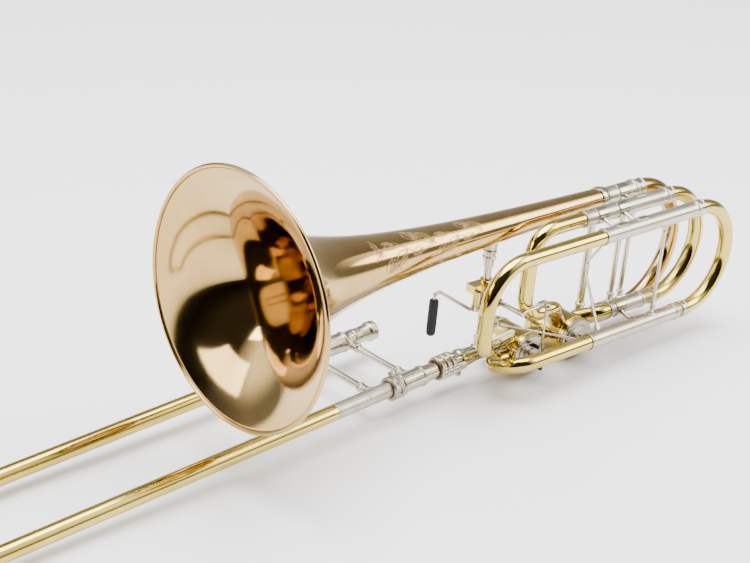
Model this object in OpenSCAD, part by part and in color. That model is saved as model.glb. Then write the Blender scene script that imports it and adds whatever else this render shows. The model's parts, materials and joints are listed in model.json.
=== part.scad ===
// Bass trombone with two rotary valves set in line and an open wrap, lying on its slide crook
// and on a valve casing. Millimetres.
//
// Two working frames are used before the whole is set down on the floor:
//   bell frame   X along the bell axis, from the rim towards the tuning slides, with x = 0 at the
//                rim; Z up, with z = 0 on the neckpipe axis; Y away from the valve loops.
//   slide frame  the same at the bell-lock nut, then pitched down towards the crook; a station u
//                is measured from the nut along the slide, so x = -u there.

/* [Bell] */
// Diameter over the rim wire
bell_rim_d = 241.3; // [230:0.1:255]
// Distance from the rim plane to the end of the stem
bell_length = 483; // [475:1:486]
// Height of the bell axis above the neckpipe axis
bell_height = 138; // [136:1:142]
// Length constant of the flare
flare_length = 40; // [34:1:46]
// Exponent of the flare
flare_power = 0.915; // [0.88:0.005:0.94]
// Wall thickness of the bell
bell_wall = 0.7; // [0.5:0.1:1]
// Diameter of the wire in the rim
rim_wire_d = 4; // [3:0.1:4.4]

/* [Hand slide] */
// Centre distance of the two slide tubes
slide_spacing = 99.5; // [96:0.5:102]
// Angle of the slide below the bell axis
slide_pitch = 3.8; // [3:0.1:4.5]
// Rim plane to bell-lock nut
nut_x = 274; // [272:1:276]
// Nut to the straight end of the outer tubes
slide_length = 738; // [720:1:745]
// Outer diameter of the inner slide tubes
inner_tube_d = 15; // [14.9:0.01:15.05]
// Bore of the instrument
slide_bore = 14.27; // [14:0.01:14.4]
// Outer diameter of the brass outer tubes
outer_tube_d = 16.2; // [16:0.1:16.6]
// Outer diameter of the nickel tops of the outer tubes
outer_top_d = 15.9; // [15.8:0.1:16]

/* [Valves] */
// First valve, distance from the rim plane
valve_1_x = 368; // [366:1:370]
// Second valve, distance from the rim plane
valve_2_x = 440; // [438:1:442]
// Outer radius of a valve casing
casing_r = 23; // [22.5:0.5:24]
// Radius of a rotor
rotor_r = 19; // [18.5:0.1:19.5]
// Front face of a casing, on the loop side
casing_front_y = -28; // [-29:1:-27]
// Back face of a casing
casing_back_y = 20; // [18:1:22]
// Radius of a stop arm, spindle to ball
stop_arm_r = 8.5; // [8:0.5:9]

/* [Loops] */
// Outer diameter of the valve-loop tubing
loop_tube_d = 15.4; // [15.2:0.1:15.6]
// Outer diameter of the outer tuning sleeves on the valve loops
loop_sleeve_d = 16.8; // [16.6:0.1:17.4]
// Distance of the first-valve loop from the bell plane
f_loop_y = -62; // [-64:1:-61]
// Distance of the second-valve loop from the bell plane
d_loop_y = -31; // [-32:1:-30]
// Outer diameter of the main tuning slide legs
main_leg_d = 17.6; // [17.2:0.1:18]
// Outer diameter of the main tuning sleeves
main_sleeve_d = 19.6; // [19.2:0.1:20]

/* [Hidden] */
$fn = 64;
running = 0.05;                 // radial clearance of tubes and shafts that slide or turn
solder_gap = 0.02;              // gap left where one piece is cut round another
bumper_length = 12;

rim_wire_r = rim_wire_d / 2;
rim_centre_r = bell_rim_d / 2 - rim_wire_r;

loop_bore = loop_tube_d - 1.1;
loop_sleeve_bore = loop_tube_d + 2 * running;
main_bore = main_leg_d - 1.1;
main_sleeve_bore = main_leg_d + 2 * running;
outer_bore = inner_tube_d + 2 * running;

crook_r = slide_spacing / 2;
crook_tube_d = outer_tube_d + 0.8;

// heights and ends of the three tuning loops
main_bow_x = 545;      main_low_z = 0;
main_sleeve_x = [486, 536];
main_low_sleeve_x = [503, 536];
f_bow_x = 573.5;       f_high_z = 131;    f_low_z = 14.5;
f_sleeve_x = [416, 566];
f_low_sleeve_x = [418, 558];
d_bow_x = 559.5;       d_high_z = 138;    d_low_z = 22;
d_sleeve_x = [419, 552];
d_low_sleeve_x = [482, 537];
leg_end_gap = 4;                // clearance at the closed end of each sleeve
ring_length = 7;

bell_brace_x = 322;
post_1_x = 476;
post_2_x = 526;
slide_brace_x = 542;
strut_x = 519;
knee_z = 62;                    // height at which the knee brace meets the first post

// lever pivots
thumb_pivot = [332, 0, 60];
thumb_link_y = -48;
finger_pivot = [311, 0, 56];
finger_link = [314, -26, 47];
arm_y = thumb_link_y + 5.8;     // plane of the thumb lever's short arm
link_half = 2;                  // half thickness of the links' flat ends

// routes of the fixed tubing, as corner points in the bell frame
f_high_route = [[f_sleeve_x[0] + 6, f_loop_y, f_high_z], [258, f_loop_y, f_high_z],
                [258, f_loop_y, 46], [valve_1_x - 12, -12, 16]];
f_low_route = [[f_low_sleeve_x[0] + 6, f_loop_y, f_low_z], [315, f_loop_y, f_low_z],
               [315, -19, -1], [valve_1_x - 14, -19, -1]];
d_high_route = [[d_sleeve_x[0] + 6, d_loop_y, d_high_z], [348, d_loop_y, d_high_z],
                [348, d_loop_y, 47], [396, d_loop_y, 47], [valve_2_x - 10, -12, 13]];
d_low_route = [[d_low_sleeve_x[0] + 6, d_loop_y, d_low_z], [471, d_loop_y, d_low_z],
               [valve_2_x + 10, -13, 14]];

// how the instrument stands: a line under the crook's end and under the second valve
crook_end_u = slide_length + crook_r;
crook_low = [nut_x - crook_end_u * cos(slide_pitch), -crook_end_u * sin(slide_pitch)];
valve_low = [valve_2_x, 0];
stand_span = norm(valve_low - crook_low);
stand_lean = atan2(valve_low[1] - crook_low[1], valve_low[0] - crook_low[0])
             - asin((casing_r - crook_tube_d / 2) / stand_span);
stand_lift = casing_r + valve_2_x * sin(stand_lean);

// middle of the whole box, in the floor frame
bow_end_x = f_bow_x + (f_high_z - f_low_z) / 2 + loop_tube_d / 2;
bow_end_z = (f_high_z + f_low_z) / 2;
box_high_x = bow_end_x * cos(stand_lean) + bow_end_z * sin(stand_lean);
box_low_x = crook_low[0] * cos(stand_lean) + crook_low[1] * sin(stand_lean)
            - crook_tube_d / 2 - bumper_length;
mid_x = (box_high_x + box_low_x) / 2;
mid_y = 0;                      // the bell rim reaches furthest on both sides

// ---------------------------------------------------------------- frames

module on_floor() {
  translate([-mid_x, -mid_y, stand_lift]) rotate([0, stand_lean, 0]) children();
}
module on_slide() {
  on_floor() translate([nut_x, 0, 0]) rotate([0, -slide_pitch, 0]) children();
}
function slide_point(u) = [nut_x - u * cos(slide_pitch), 0, -u * sin(slide_pitch)];

// ---------------------------------------------------------------- tube tools

function unit(v) = v / norm(v);
function turn(a, b) = acos(max(-1, min(1, a * b)));

module place(o, x, y, z) {
  multmatrix([[x[0], y[0], z[0], o[0]], [x[1], y[1], z[1], o[1]],
              [x[2], y[2], z[2], o[2]], [0, 0, 0, 1]]) children();
}
// children drawn along Z are laid from point a towards point b
module along(a, b) {
  z = unit(b - a);
  x = unit(cross(abs(z[2]) < 0.9 ? [0, 0, 1] : [0, 1, 0], z));
  place(a, x, cross(z, x), z) children();
}
module ring_section(od, id) {
  difference() {
    circle(d = od);
    if (id > 0) circle(d = id);
  }
}
module tube(a, b, od, id = 0) {
  along(a, b) linear_extrude(norm(b - a)) ring_section(od, id);
}
// one arc of tube that rounds the corner p between directions d1 and d2
module elbow(p, d1, d2, r, od, id) {
  bend_angle = turn(d1, d2);
  inward = unit(d2 - (d1 * d2) * d1);
  centre = p - r * tan(bend_angle / 2) * d1 + r * inward;
  place(centre, -inward, d1, cross(-inward, d1))
    rotate_extrude(angle = bend_angle) translate([r, 0]) ring_section(od, id);
}
// a tube along a route of corner points; bends holds one radius for each inner corner, and a
// thin collar covers the joint at each end of every bend
module pipe(route, bends, od, id) {
  last = len(route) - 1;
  collar_id = (od + id) / 2;
  dirs = [for (i = [0 : last - 1]) unit(route[i + 1] - route[i])];
  setback = [for (i = [0 : last])
    (i == 0 || i == last) ? 0 : bends[i - 1] * tan(turn(dirs[i - 1], dirs[i]) / 2)];
  for (i = [0 : last - 1]) {
    a = route[i] + setback[i] * dirs[i];
    b = route[i + 1] - setback[i + 1] * dirs[i];
    tube(a + (i > 0 ? solder_gap : 0) * dirs[i], b - (i < last - 1 ? solder_gap : 0) * dirs[i], od, id);
    if (i > 0) tube(a - 0.3 * dirs[i], a + 2 * dirs[i], od + 0.4, collar_id);
    if (i < last - 1) tube(b - 2 * dirs[i], b + 0.3 * dirs[i], od + 0.4, collar_id);
  }
  for (i = [1 : last - 1]) elbow(route[i], dirs[i - 1], dirs[i], bends[i - 1], od, id);
}
// a round rod along a route, with a ball at each corner
module rod(route, d) {
  for (i = [0 : len(route) - 2]) tube(route[i], route[i + 1], d);
  for (i = [1 : 1 : len(route) - 2]) translate(route[i]) sphere(d = d + 0.5);
}
// turned profile about X, as [x, r] points
module turned(points) {
  rotate([90, 0, 90]) rotate_extrude() polygon([for (p = points) [p[1], p[0]]]);
}
// a bead or ring about X: x range, inner and outer radius, edges broken by c
module bead(x0, x1, ri, ro, c = 0.6) {
  turned([[x0, ri], [x0, ro - c], [x0 + c, ro], [x1 - c, ro], [x1, ro - c], [x1, ri]]);
}
// cylinder along Y
module y_cylinder(x, z, y0, y1, r) {
  translate([x, y0, z]) rotate([-90, 0, 0]) cylinder(r = r, h = y1 - y0);
}

// ---------------------------------------------------------------- bell

function bell_r(x) = (rim_centre_r - 0.6) * pow(1 + (x - rim_wire_r) / flare_length, -flare_power);
function bell_slope(x) = (bell_r(x + 0.05) - bell_r(x - 0.05)) / 0.1;
function bell_station(i, n) = rim_wire_r + (bell_length - rim_wire_r) * pow(i / n, 2);

module rim_torus(r) {
  translate([rim_wire_r, 0, bell_height]) rotate([0, 90, 0])
    rotate_extrude() translate([rim_centre_r, 0]) circle(r = r);
}
module bell() {
  n = 36;
  outer = [for (i = [0 : n]) let (x = bell_station(i, n)) [x, bell_r(x)]];
  inner = [for (i = [n : -1 : 0]) let (x = bell_station(i, n), k = bell_slope(x), l = norm([1, k]))
    [max(rim_wire_r, min(bell_length, x + bell_wall * k / l * (i < n ? 1 : 0))),
     bell_r(x) - bell_wall / l * (i < n ? 1 : l)]];
  color([0.78, 0.62, 0.42]) on_floor() difference() {
    translate([0, 0, bell_height]) turned(concat(outer, inner));
    rim_torus(rim_wire_r + solder_gap);
  }
}
module rim_wire() {
  color([0.72, 0.56, 0.36]) on_floor() rim_torus(rim_wire_r);
}
module bell_ferrule() {
  ro = main_sleeve_d / 2 + 1.2;
  color([0.78, 0.76, 0.68]) on_floor() translate([0, 0, bell_height])
    turned([[bell_length - 7, bell_r(bell_length - 7) + solder_gap],
            [bell_length - 7, ro + 1.4], [bell_length - 5, ro + 1.8], [bell_length - 2, ro + 1.8],
            [bell_length, ro + 1.2], [main_sleeve_x[0] - solder_gap, ro + 0.8],
            [main_sleeve_x[0] - solder_gap, main_bore / 2],
            [bell_length + solder_gap, main_bore / 2],
            [bell_length + solder_gap, bell_r(bell_length) + solder_gap]]);
}

// ---------------------------------------------------------------- posts and braces

module post(base, top, d, flange_d, flange_h) {
  tube(base, top, d);
  tube(base, base + flange_h * unit(top - base), flange_d);
  tube(top - flange_h * unit(top - base), top, flange_d);
}
module bell_solid(gap) {
  n = 12;
  translate([0, 0, bell_height]) turned(concat([[250, 0]],
    [for (i = [0 : n]) let (x = 250 + (bell_length - 250) * i / n) [x, bell_r(x) + gap]],
    [[bell_length, 0]]));
}
neck_route = [slide_point(-28), slide_point(-47), [valve_1_x - 10, 0, 0]];
module neck_solid(gap) {
  tube(neck_route[0], neck_route[1], 16.2 + 2 * gap);
  tube(neck_route[1] - 2 * unit(neck_route[2] - neck_route[1]), neck_route[2], 16.2 + 2 * gap);
}
module bell_brace() {
  color([0.76, 0.74, 0.66]) on_floor() difference() {
    union() {
      tube([bell_brace_x, 0, 0], [bell_brace_x, 0, bell_height], 8);
      tube([bell_brace_x, 0, 98], [bell_brace_x, 0, 112], 11);
      tube([bell_brace_x, 0, 112], [bell_brace_x, 0, bell_height - 12], 16);
      tube([bell_brace_x, 0, 0], [bell_brace_x, 0, 12], 15);
      tube([bell_brace_x, 0, 12], [bell_brace_x, 0, 22], 11);
    }
    bell_solid(solder_gap);
    neck_solid(solder_gap);
    translate([bell_brace_x - 20, -20, -20]) cube([40, 40, 20]);
    translate([bell_brace_x - 20, -20, bell_height - 4]) cube([40, 40, 20]);
  }
}
// a thin saddle, w long, on a tube of radius r that runs along X
module post_pad(r, x, y, z, above, w = 11) {
  intersection() {
    translate([x - w / 2, y, z]) rotate([0, 90, 0])
      linear_extrude(w) ring_section(2 * r + 2.4, 2 * r + 2 * solder_gap);
    translate([x - w / 2, y - 5, above ? z : z - r - 3]) cube([w, 10, r + 3]);
  }
}
module brace_post_1() {
  low_r = main_leg_d / 2;
  color([0.76, 0.74, 0.66]) on_floor() {
    difference() {
      union() {
        tube([post_1_x, 0, low_r + 0.6], [post_1_x, 0, bell_height - 8], 8.2);
        tube([post_1_x, 0, low_r + 0.6], [post_1_x, 0, low_r + 12], 10);
        tube([post_1_x, 0, 112], [post_1_x, 0, bell_height - 8], 10);
        tube([post_1_x, 0, knee_z - 6], [post_1_x, 0, knee_z + 6], 10);
      }
      bell_solid(solder_gap);
      tube([bell_length - 7.1, 0, bell_height], [bell_length + 6, 0, bell_height],
           main_sleeve_d + 6 + 2 * solder_gap);
    }
    post_pad(low_r, post_1_x, 0, 0, true);
  }
}
module brace_post_2() {
  r = main_sleeve_d / 2;
  color([0.76, 0.74, 0.66]) on_floor() {
    post([post_2_x, 0, r + 0.6], [post_2_x, 0, bell_height - r - 0.6], 6, 8, 12);
    post_pad(r, post_2_x, 0, 0, true);
    post_pad(r, post_2_x, 0, bell_height, false);
  }
}
module knee_brace() {
  // two thin rods from the first post out to the first-valve loop sleeves
  r = loop_sleeve_d / 2;
  high = [428, f_loop_y, f_high_z];
  low = [437, f_loop_y, f_low_z];
  knee = [post_1_x, 0, knee_z];
  color([0.72, 0.70, 0.63]) on_floor() {
    difference() {
      union() {
        tube(high, knee + [0, 0, 3], 3.2);
        tube(low, knee - [0, 0, 3], 3.2);
        for (p = [high, low])
          tube(p, p + 16 * unit(knee - p), 6);
      }
      for (p = [high, low])
        translate([p[0] - 20, p[1], p[2]]) rotate([0, 90, 0]) cylinder(r = r + solder_gap, h = 40);
      tube([post_1_x, 0, 0], [post_1_x, 0, 120], 10 + 2 * solder_gap);
    }
  }
}
module loop_strut() {
  r = loop_sleeve_d / 2;
  color([0.74, 0.72, 0.64]) on_floor() {
    post([strut_x, f_loop_y, f_low_z + r + 0.4], [strut_x, f_loop_y, f_high_z - r - 0.4], 3.4, 5.6, 9);
    post_pad(r, strut_x, f_loop_y, f_low_z, true);
    post_pad(r, strut_x, f_loop_y, f_high_z, false);
  }
}
// a short bridge between two tubes that run along X: their centres [y, z] and radii
module bridge(x, a, ra, b, rb) {
  difference() {
    union() {
      tube([x, a[0], a[1]], [x, b[0], b[1]], 5);
      translate([x - 7, 0, 0]) for (end = [[a, ra], [b, rb]])
        translate([0, end[0][0], end[0][1]]) rotate([0, 90, 0])
          linear_extrude(14) ring_section(2 * end[1] + 2, 2 * end[1]);
    }
    for (end = [[a, ra], [b, rb]])
      translate([x - 30, end[0][0], end[0][1]]) rotate([0, 90, 0])
        cylinder(r = end[1] + solder_gap, h = 60);
    // the saddles wrap only the facing sides
    for (end = [[a, b, ra], [b, a, rb]]) {
      away = unit(end[0] - end[1]);
      translate([x, end[0][0] + away[0] * 13.5, end[0][1] + away[1] * 13.5])
        rotate([atan2(away[1], away[0]), 0, 0]) cube([20, 26, 34], center = true);
    }
  }
}
module loop_bridges() {
  ls = loop_sleeve_d / 2;
  color([0.76, 0.74, 0.66]) on_floor() {
    for (x = [444, 476])
      bridge(x, [f_loop_y, f_high_z], ls, [d_loop_y, d_high_z], ls);
    bridge(512, [d_loop_y, d_high_z], ls, [0, bell_height], main_sleeve_d / 2);
    bridge(498, [f_loop_y, f_low_z], ls, [d_loop_y, d_low_z], ls);
    bridge(511, [d_loop_y, d_low_z], ls, [0, main_low_z], main_sleeve_d / 2);
  }
}

// ---------------------------------------------------------------- neck and valves

module slide_receiver() {
  // threaded end under the lock nut, then a taper down to the neckpipe
  color([0.74, 0.72, 0.64]) on_slide() {
    turned([[-6, 8.4], [-6, 10.5], [12, 10.5], [12.5, 9.6], [18, 9.9], [20, 11], [24, 11],
            [26, 9.8], [36, 8.9], [40, 8.6], [40, 15.6 / 2 + solder_gap],
            [24, 15.6 / 2 + solder_gap], [24, 8.4]]);
    // retaining screw under the receiver
    translate([22, 0, -14.4]) cylinder(r = 2.2, h = 3.6);
    translate([22, 0, -17.4]) cylinder(r = 3.4, h = 3);
  }
}
module neckpipe() {
  color([0.80, 0.72, 0.48]) on_floor() difference() {
    pipe(neck_route, [30], 15.6, slide_bore);
    y_cylinder(valve_1_x, 0, -40, 40, casing_r + solder_gap);
  }
}
module casing(x, side_lines) {
  difference() {
    y_cylinder(x, 0, casing_front_y, casing_back_y, casing_r);
    y_cylinder(x, 0, casing_front_y - 1, casing_back_y + 1, rotor_r + running);
    tube([x - 40, 0, 0], [x + 40, 0, 0], slide_bore);
    for (line = side_lines) tube(line[0], line[1], loop_bore);
  }
  for (y = [casing_front_y + 3, casing_back_y - 6]) difference() {
    y_cylinder(x, 0, y, y + 3, casing_r);
    y_cylinder(x, 0, y - 1, y + 4, casing_r - 1);
  }
}
module valve_1_casing() {
  color([0.82, 0.74, 0.48]) on_floor()
    casing(valve_1_x, [[f_high_route[2], f_high_route[3]], [f_low_route[2], f_low_route[3]]]);
}
module valve_2_casing() {
  color([0.82, 0.74, 0.48]) on_floor()
    casing(valve_2_x, [[d_high_route[3], d_high_route[4]], [d_low_route[1], d_low_route[2]]]);
}
// bearing plate and screw-on rim at each end; the spindle passes through the front one
module valve_caps(x) {
  shaft_r = 3.2;
  color([0.75, 0.73, 0.66]) on_floor() {
    difference() {
      union() {
        y_cylinder(x, 0, casing_front_y - 3, casing_front_y - solder_gap, casing_r - 1);
        y_cylinder(x, 0, casing_front_y - 5, casing_front_y - 3, 8.4);
      }
      y_cylinder(x, 0, casing_front_y - 8, casing_front_y + 1, shaft_r + running);
    }
    difference() {
      union() {
        y_cylinder(x, 0, casing_back_y + solder_gap, casing_back_y + 4, casing_r - 1);
        y_cylinder(x, 0, casing_back_y + 4, casing_back_y + 6, casing_r - 6);
      }
      y_cylinder(x, 0, casing_back_y - 1, casing_back_y + 3, shaft_r + running);
    }
  }
}
module valve_1_caps() { valve_caps(valve_1_x); }
module valve_2_caps() { valve_caps(valve_2_x); }
module valve_link_tube() {
  color([0.80, 0.72, 0.48]) on_floor() difference() {
    union() {
      tube([valve_1_x, 0, 0], [valve_2_x, 0, 0], 16, slide_bore);
      mid = (valve_1_x + valve_2_x) / 2;
      tube([mid - 4, 0, 0], [mid + 4, 0, 0], 18.5, slide_bore);
    }
    for (x = [valve_1_x, valve_2_x]) y_cylinder(x, 0, -40, 40, casing_r + solder_gap);
  }
}
module main_lead_tube() {
  color([0.82, 0.72, 0.44]) on_floor() difference() {
    tube([valve_2_x, 0, 0], [main_low_sleeve_x[0] + 4, 0, 0], main_leg_d, slide_bore);
    y_cylinder(valve_2_x, 0, -40, 40, casing_r + solder_gap);
  }
}
module rotor(x) {
  shaft_r = 3.2;
  color([0.70, 0.66, 0.52]) on_floor() {
    difference() {
      y_cylinder(x, 0, casing_front_y + 0.3, casing_back_y - 0.3, rotor_r);
      tube([x - 30, 0, 0], [x + 30, 0, 0], slide_bore);
      // scooped passages that join the loop when the rotor is turned
      for (s = [-1, 1]) translate([x + s * 0.1, -13, s * 27]) rotate([90, 0, 0])
        rotate_extrude() translate([14, 0]) circle(r = 5.5);
    }
    y_cylinder(x, 0, thumb_link_y + 3.6, casing_front_y + 0.3, shaft_r);
    y_cylinder(x, 0, casing_back_y - 0.3, casing_back_y + 2.6, shaft_r);
  }
}
module rotor_1() { rotor(valve_1_x); }
module rotor_2() { rotor(valve_2_x); }
// hub, arm and stud on the front end of a spindle; angle is measured from +X towards +Z
module stop_arm(x, angle, link_y) {
  tip = [x + stop_arm_r * cos(angle), 0, stop_arm_r * sin(angle)];
  hub_y = thumb_link_y + 6;
  color([0.68, 0.67, 0.62]) on_floor() difference() {
    union() {
      y_cylinder(x, 0, hub_y - 2, hub_y + 2, 5.4);
      tube([x, hub_y, 0], [tip[0], hub_y, tip[2]], 4);
      // stud whose shoulder faces the link's end
      y_cylinder(tip[0], tip[2], link_y + link_half, hub_y, 1.6);
      y_cylinder(tip[0], tip[2], link_y + link_half, link_y + link_half + 1.2, 2.4);
      // tail that meets the bumpers
      tube([x, hub_y, 0], [x - 13 * cos(angle), hub_y, -13 * sin(angle)], 3.6);
    }
    y_cylinder(x, 0, hub_y - 10, hub_y + 10, 3.2 + solder_gap);
  }
}
module stop_arm_1() { stop_arm(valve_1_x, 135, thumb_link_y); }
module stop_arm_2() { stop_arm(valve_2_x, 135, thumb_link_y); }
module stop_bumpers() {
  hub_y = thumb_link_y + 6;
  // each tail swings a quarter turn between two rubber-tipped pegs
  color([0.18, 0.17, 0.16]) on_floor()
    for (v = [[valve_1_x, 45, -45], [valve_2_x, -45, -135]])
      for (a = [v[1] + 27, v[2] - 27])
        y_cylinder(v[0] + 11 * cos(a), 11 * sin(a), hub_y - 2.5, casing_front_y - 3.1, 2.2);
}

// ---------------------------------------------------------------- levers

module thumb_bracket() {
  p = thumb_pivot;
  color([0.74, 0.72, 0.64]) on_floor() difference() {
    union() {
      for (y = [-12, 7]) {
        y_cylinder(p[0], p[2], y, y + 4, 4.6);
        translate([bell_brace_x, y, p[2] - 4]) cube([p[0] - bell_brace_x, 4, 8]);
      }
      tube([bell_brace_x, 0, p[2] - 5], [bell_brace_x, 0, p[2] + 5], 11);
      translate([bell_brace_x - 2, -12, p[2] - 4]) cube([4, 23, 8]);
    }
    tube([bell_brace_x, 0, 20], [bell_brace_x, 0, 90], 8 + 2 * solder_gap);
    y_cylinder(p[0], p[2], -50, 30, 2.6 + running);
  }
}
thumb_tip = [363.56, thumb_link_y, 62];
module thumb_lever() {
  p = thumb_pivot;
  tip = [thumb_tip[0], arm_y, thumb_tip[2]];
  color([0.75, 0.73, 0.66]) on_floor() {
    y_cylinder(p[0], p[2], tip[1] - 3, 20, 2.6);
    // short arm to the link
    rod([[p[0], tip[1], p[2]], tip], 3.4);
    y_cylinder(tip[0], tip[2], thumb_link_y, tip[1] + 0.4, 1.4);
    translate(thumb_tip) sphere(r = 2.3);
    // thumb arm and its paddle, on the far side
    rod([[p[0], 16.5, p[2]], [352, 16.5, 65.2]], 3.4);
    translate([353, 16.5, 63.9]) cylinder(r = 9, h = 2.4);
  }
}
module thumb_link() {
  low = [valve_1_x + stop_arm_r * cos(135), thumb_link_y, stop_arm_r * sin(135)];
  link_rod(thumb_tip, low, 2.3);
}
// rod with a cup round the lever's ball and a flat end that lies against the stop arm's stud
module link_rod(a, b, ra, way = [0, 1, 0]) {
  clear = 0.1;
  color([0.70, 0.69, 0.64]) on_floor() difference() {
    union() {
      tube(a, b, 2.4);
      translate(a) sphere(r = ra + 1.3);
      y_cylinder(b[0], b[2], b[1] - link_half, b[1] + link_half - clear, 3.7);
      tube(a + 4 * unit(b - a), a + 14 * unit(b - a), 4.2);
      tube(b + 6 * unit(a - b), b + 16 * unit(a - b), 4.2);
    }
    translate(a) sphere(r = ra + clear);
    tube(a + way, a + 10 * way, 4.1);
  }
}
module finger_clamp() {
  p = finger_pivot;
  color([0.76, 0.70, 0.48]) on_floor() difference() {
    union() {
      translate([bell_brace_x - 22, -6, 74]) cube([28, 12, 8]);
      tube([bell_brace_x, 0, 72], [bell_brace_x, 0, 84], 13);
      tube(p + [0, 0, 2], p + [0, 0, 18.2], 8.4);
    }
    tube([bell_brace_x, 0, 60], [bell_brace_x, 0, 90], 8 + 2 * solder_gap);
    tube(p - [0, 0, 6], p + [0, 0, 15], 4 + 2 * running);
  }
}
module finger_lever() {
  p = finger_pivot;
  corner = [257, 0, 85];
  color([0.75, 0.74, 0.70]) on_floor() {
    tube(p - [0, 0, 4], p + [0, 0, 14.5], 4);
    tube(p - [0, 0, 4], p + [0, 0, 1.7], 8.6);
    rod([p - [0, 0, 2], p + [-9, 0, -0.5], corner, [250, 0, 84], [250, 0, 79]], 3.4);
    // short arm to the link rod
    rod([p - [0, 0, 2.6], finger_link + [0, 0, 6.4]], 3.6);
    tube(finger_link + [0, 0, 6], finger_link, 2.8);
    translate(finger_link) sphere(r = 2.3);
  }
}
module finger_grip() {
  color([0.06, 0.06, 0.06]) on_floor()
    along([250, 0, 79 - solder_gap], [250, 0, 40])
      rotate_extrude() polygon([[0, 0], [4.2, 0], [4.9, 0.8], [4.9, 38], [4.2, 39], [0, 39]]);
}
module finger_link_rod() {
  low = [valve_2_x + stop_arm_r * cos(135), thumb_link_y, stop_arm_r * sin(135)];
  link_rod(finger_link, low, 2.3, [0, 0, 1]);
}

// ---------------------------------------------------------------- loops and tuning slides

module end_bead(x, y, z, od, id, toward = 1) {
  translate([0, y, z]) bead(min(x, x + toward * 4), max(x, x + toward * 4), id / 2, od / 2 + 0.9);
}
module sleeve(x_range, y, z, od, id, tail = true) {
  color([0.80, 0.79, 0.74]) on_floor() {
    tube([x_range[0], y, z], [x_range[1], y, z], od, id);
    end_bead(x_range[1], y, z, od, id, -1);
    if (tail) end_bead(x_range[0], y, z, od - 0.6, id, 1);
  }
}
module main_high_sleeve() { sleeve(main_sleeve_x, 0, bell_height, main_sleeve_d, main_sleeve_bore); }
module main_low_sleeve() {
  sleeve(main_low_sleeve_x, 0, main_low_z, main_sleeve_d, main_sleeve_bore, false);
}
module f_high_sleeve() { sleeve(f_sleeve_x, f_loop_y, f_high_z, loop_sleeve_d, loop_sleeve_bore); }
module f_low_sleeve() { sleeve(f_low_sleeve_x, f_loop_y, f_low_z, loop_sleeve_d, loop_sleeve_bore); }
module d_high_sleeve() { sleeve(d_sleeve_x, d_loop_y, d_high_z, loop_sleeve_d, loop_sleeve_bore); }
module d_low_sleeve() { sleeve(d_low_sleeve_x, d_loop_y, d_low_z, loop_sleeve_d, loop_sleeve_bore); }

module fixed_tube(route, bends, valve_x) {
  color([0.84, 0.74, 0.42]) on_floor() difference() {
    pipe(route, bends, loop_tube_d, loop_bore);
    y_cylinder(valve_x, 0, -40, 40, casing_r + solder_gap);
  }
}
module f_high_tube() { fixed_tube(f_high_route, [46, 26], valve_1_x); }
module f_low_tube() { fixed_tube(f_low_route, [20, 18], valve_1_x); }
module d_high_tube() { fixed_tube(d_high_route, [30, 22, 22], valve_2_x); }
module d_low_tube() { fixed_tube(d_low_route, [18], valve_2_x); }

// half-circle bow between two levels, at height y
module bow(x, y, high, low, od, id) {
  r = (high - low) / 2;
  translate([x, y, (high + low) / 2]) rotate([90, 0, 0]) rotate([0, 0, -90])
    rotate_extrude(angle = 180) translate([r, 0]) ring_section(od, id);
}
// two inner legs and their pull rings; starts holds where the upper and the lower leg begin
module legs(bow_x, y, levels, starts, od, id, ring) {
  for (i = [0, 1]) {
    tube([starts[i], y, levels[i]], [bow_x - solder_gap, y, levels[i]], od, id);
    translate([0, y, levels[i]])
      bead(bow_x - ring, bow_x - solder_gap, (od + id) / 4, od / 2 + 1.3, 0.8);
  }
}
module main_bow() {
  color([0.80, 0.60, 0.38]) on_floor()
    bow(main_bow_x + 2, 0, bell_height, main_low_z, main_leg_d + 0.6, main_bore);
}
module main_legs() {
  color([0.78, 0.77, 0.72]) on_floor()
    legs(main_bow_x + 2, 0, [bell_height, main_low_z],
         [main_sleeve_x[0] + leg_end_gap, main_low_sleeve_x[0] + 5.5], main_leg_d, main_bore, 10.5);
}
module main_slide_brace() {
  r = main_leg_d / 2 + 1.3;
  color([0.78, 0.77, 0.72]) on_floor() {
    post([slide_brace_x, 0, r + 0.6], [slide_brace_x, 0, bell_height - r - 0.6], 5.4, 7, 10);
    post_pad(r, slide_brace_x, 0, main_low_z, true, 8);
    post_pad(r, slide_brace_x, 0, bell_height, false, 8);
  }
}
module f_bow() {
  color([0.84, 0.74, 0.42]) on_floor()
    bow(f_bow_x, f_loop_y, f_high_z, f_low_z, loop_tube_d + 0.6, loop_bore);
}
module f_legs() {
  color([0.78, 0.77, 0.72]) on_floor()
    legs(f_bow_x, f_loop_y, [f_high_z, f_low_z], [f_sleeve_x[0] + 13, f_low_sleeve_x[0] + 13],
         loop_tube_d, loop_bore, ring_length);
}
module d_bow() {
  color([0.84, 0.74, 0.42]) on_floor()
    bow(d_bow_x, d_loop_y, d_high_z, d_low_z, loop_tube_d + 0.6, loop_bore);
}
module d_legs() {
  color([0.78, 0.77, 0.72]) on_floor()
    legs(d_bow_x, d_loop_y, [d_high_z, d_low_z], [d_sleeve_x[0] + 13, d_low_sleeve_x[0] + 8],
         loop_tube_d, loop_bore, ring_length);
}

// ---------------------------------------------------------------- hand slide, inner part

barrel_end_u = 66;              // free end of the cork barrels' solid wall
module at_far_tube() { translate([0, slide_spacing, 0]) children(); }

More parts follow.
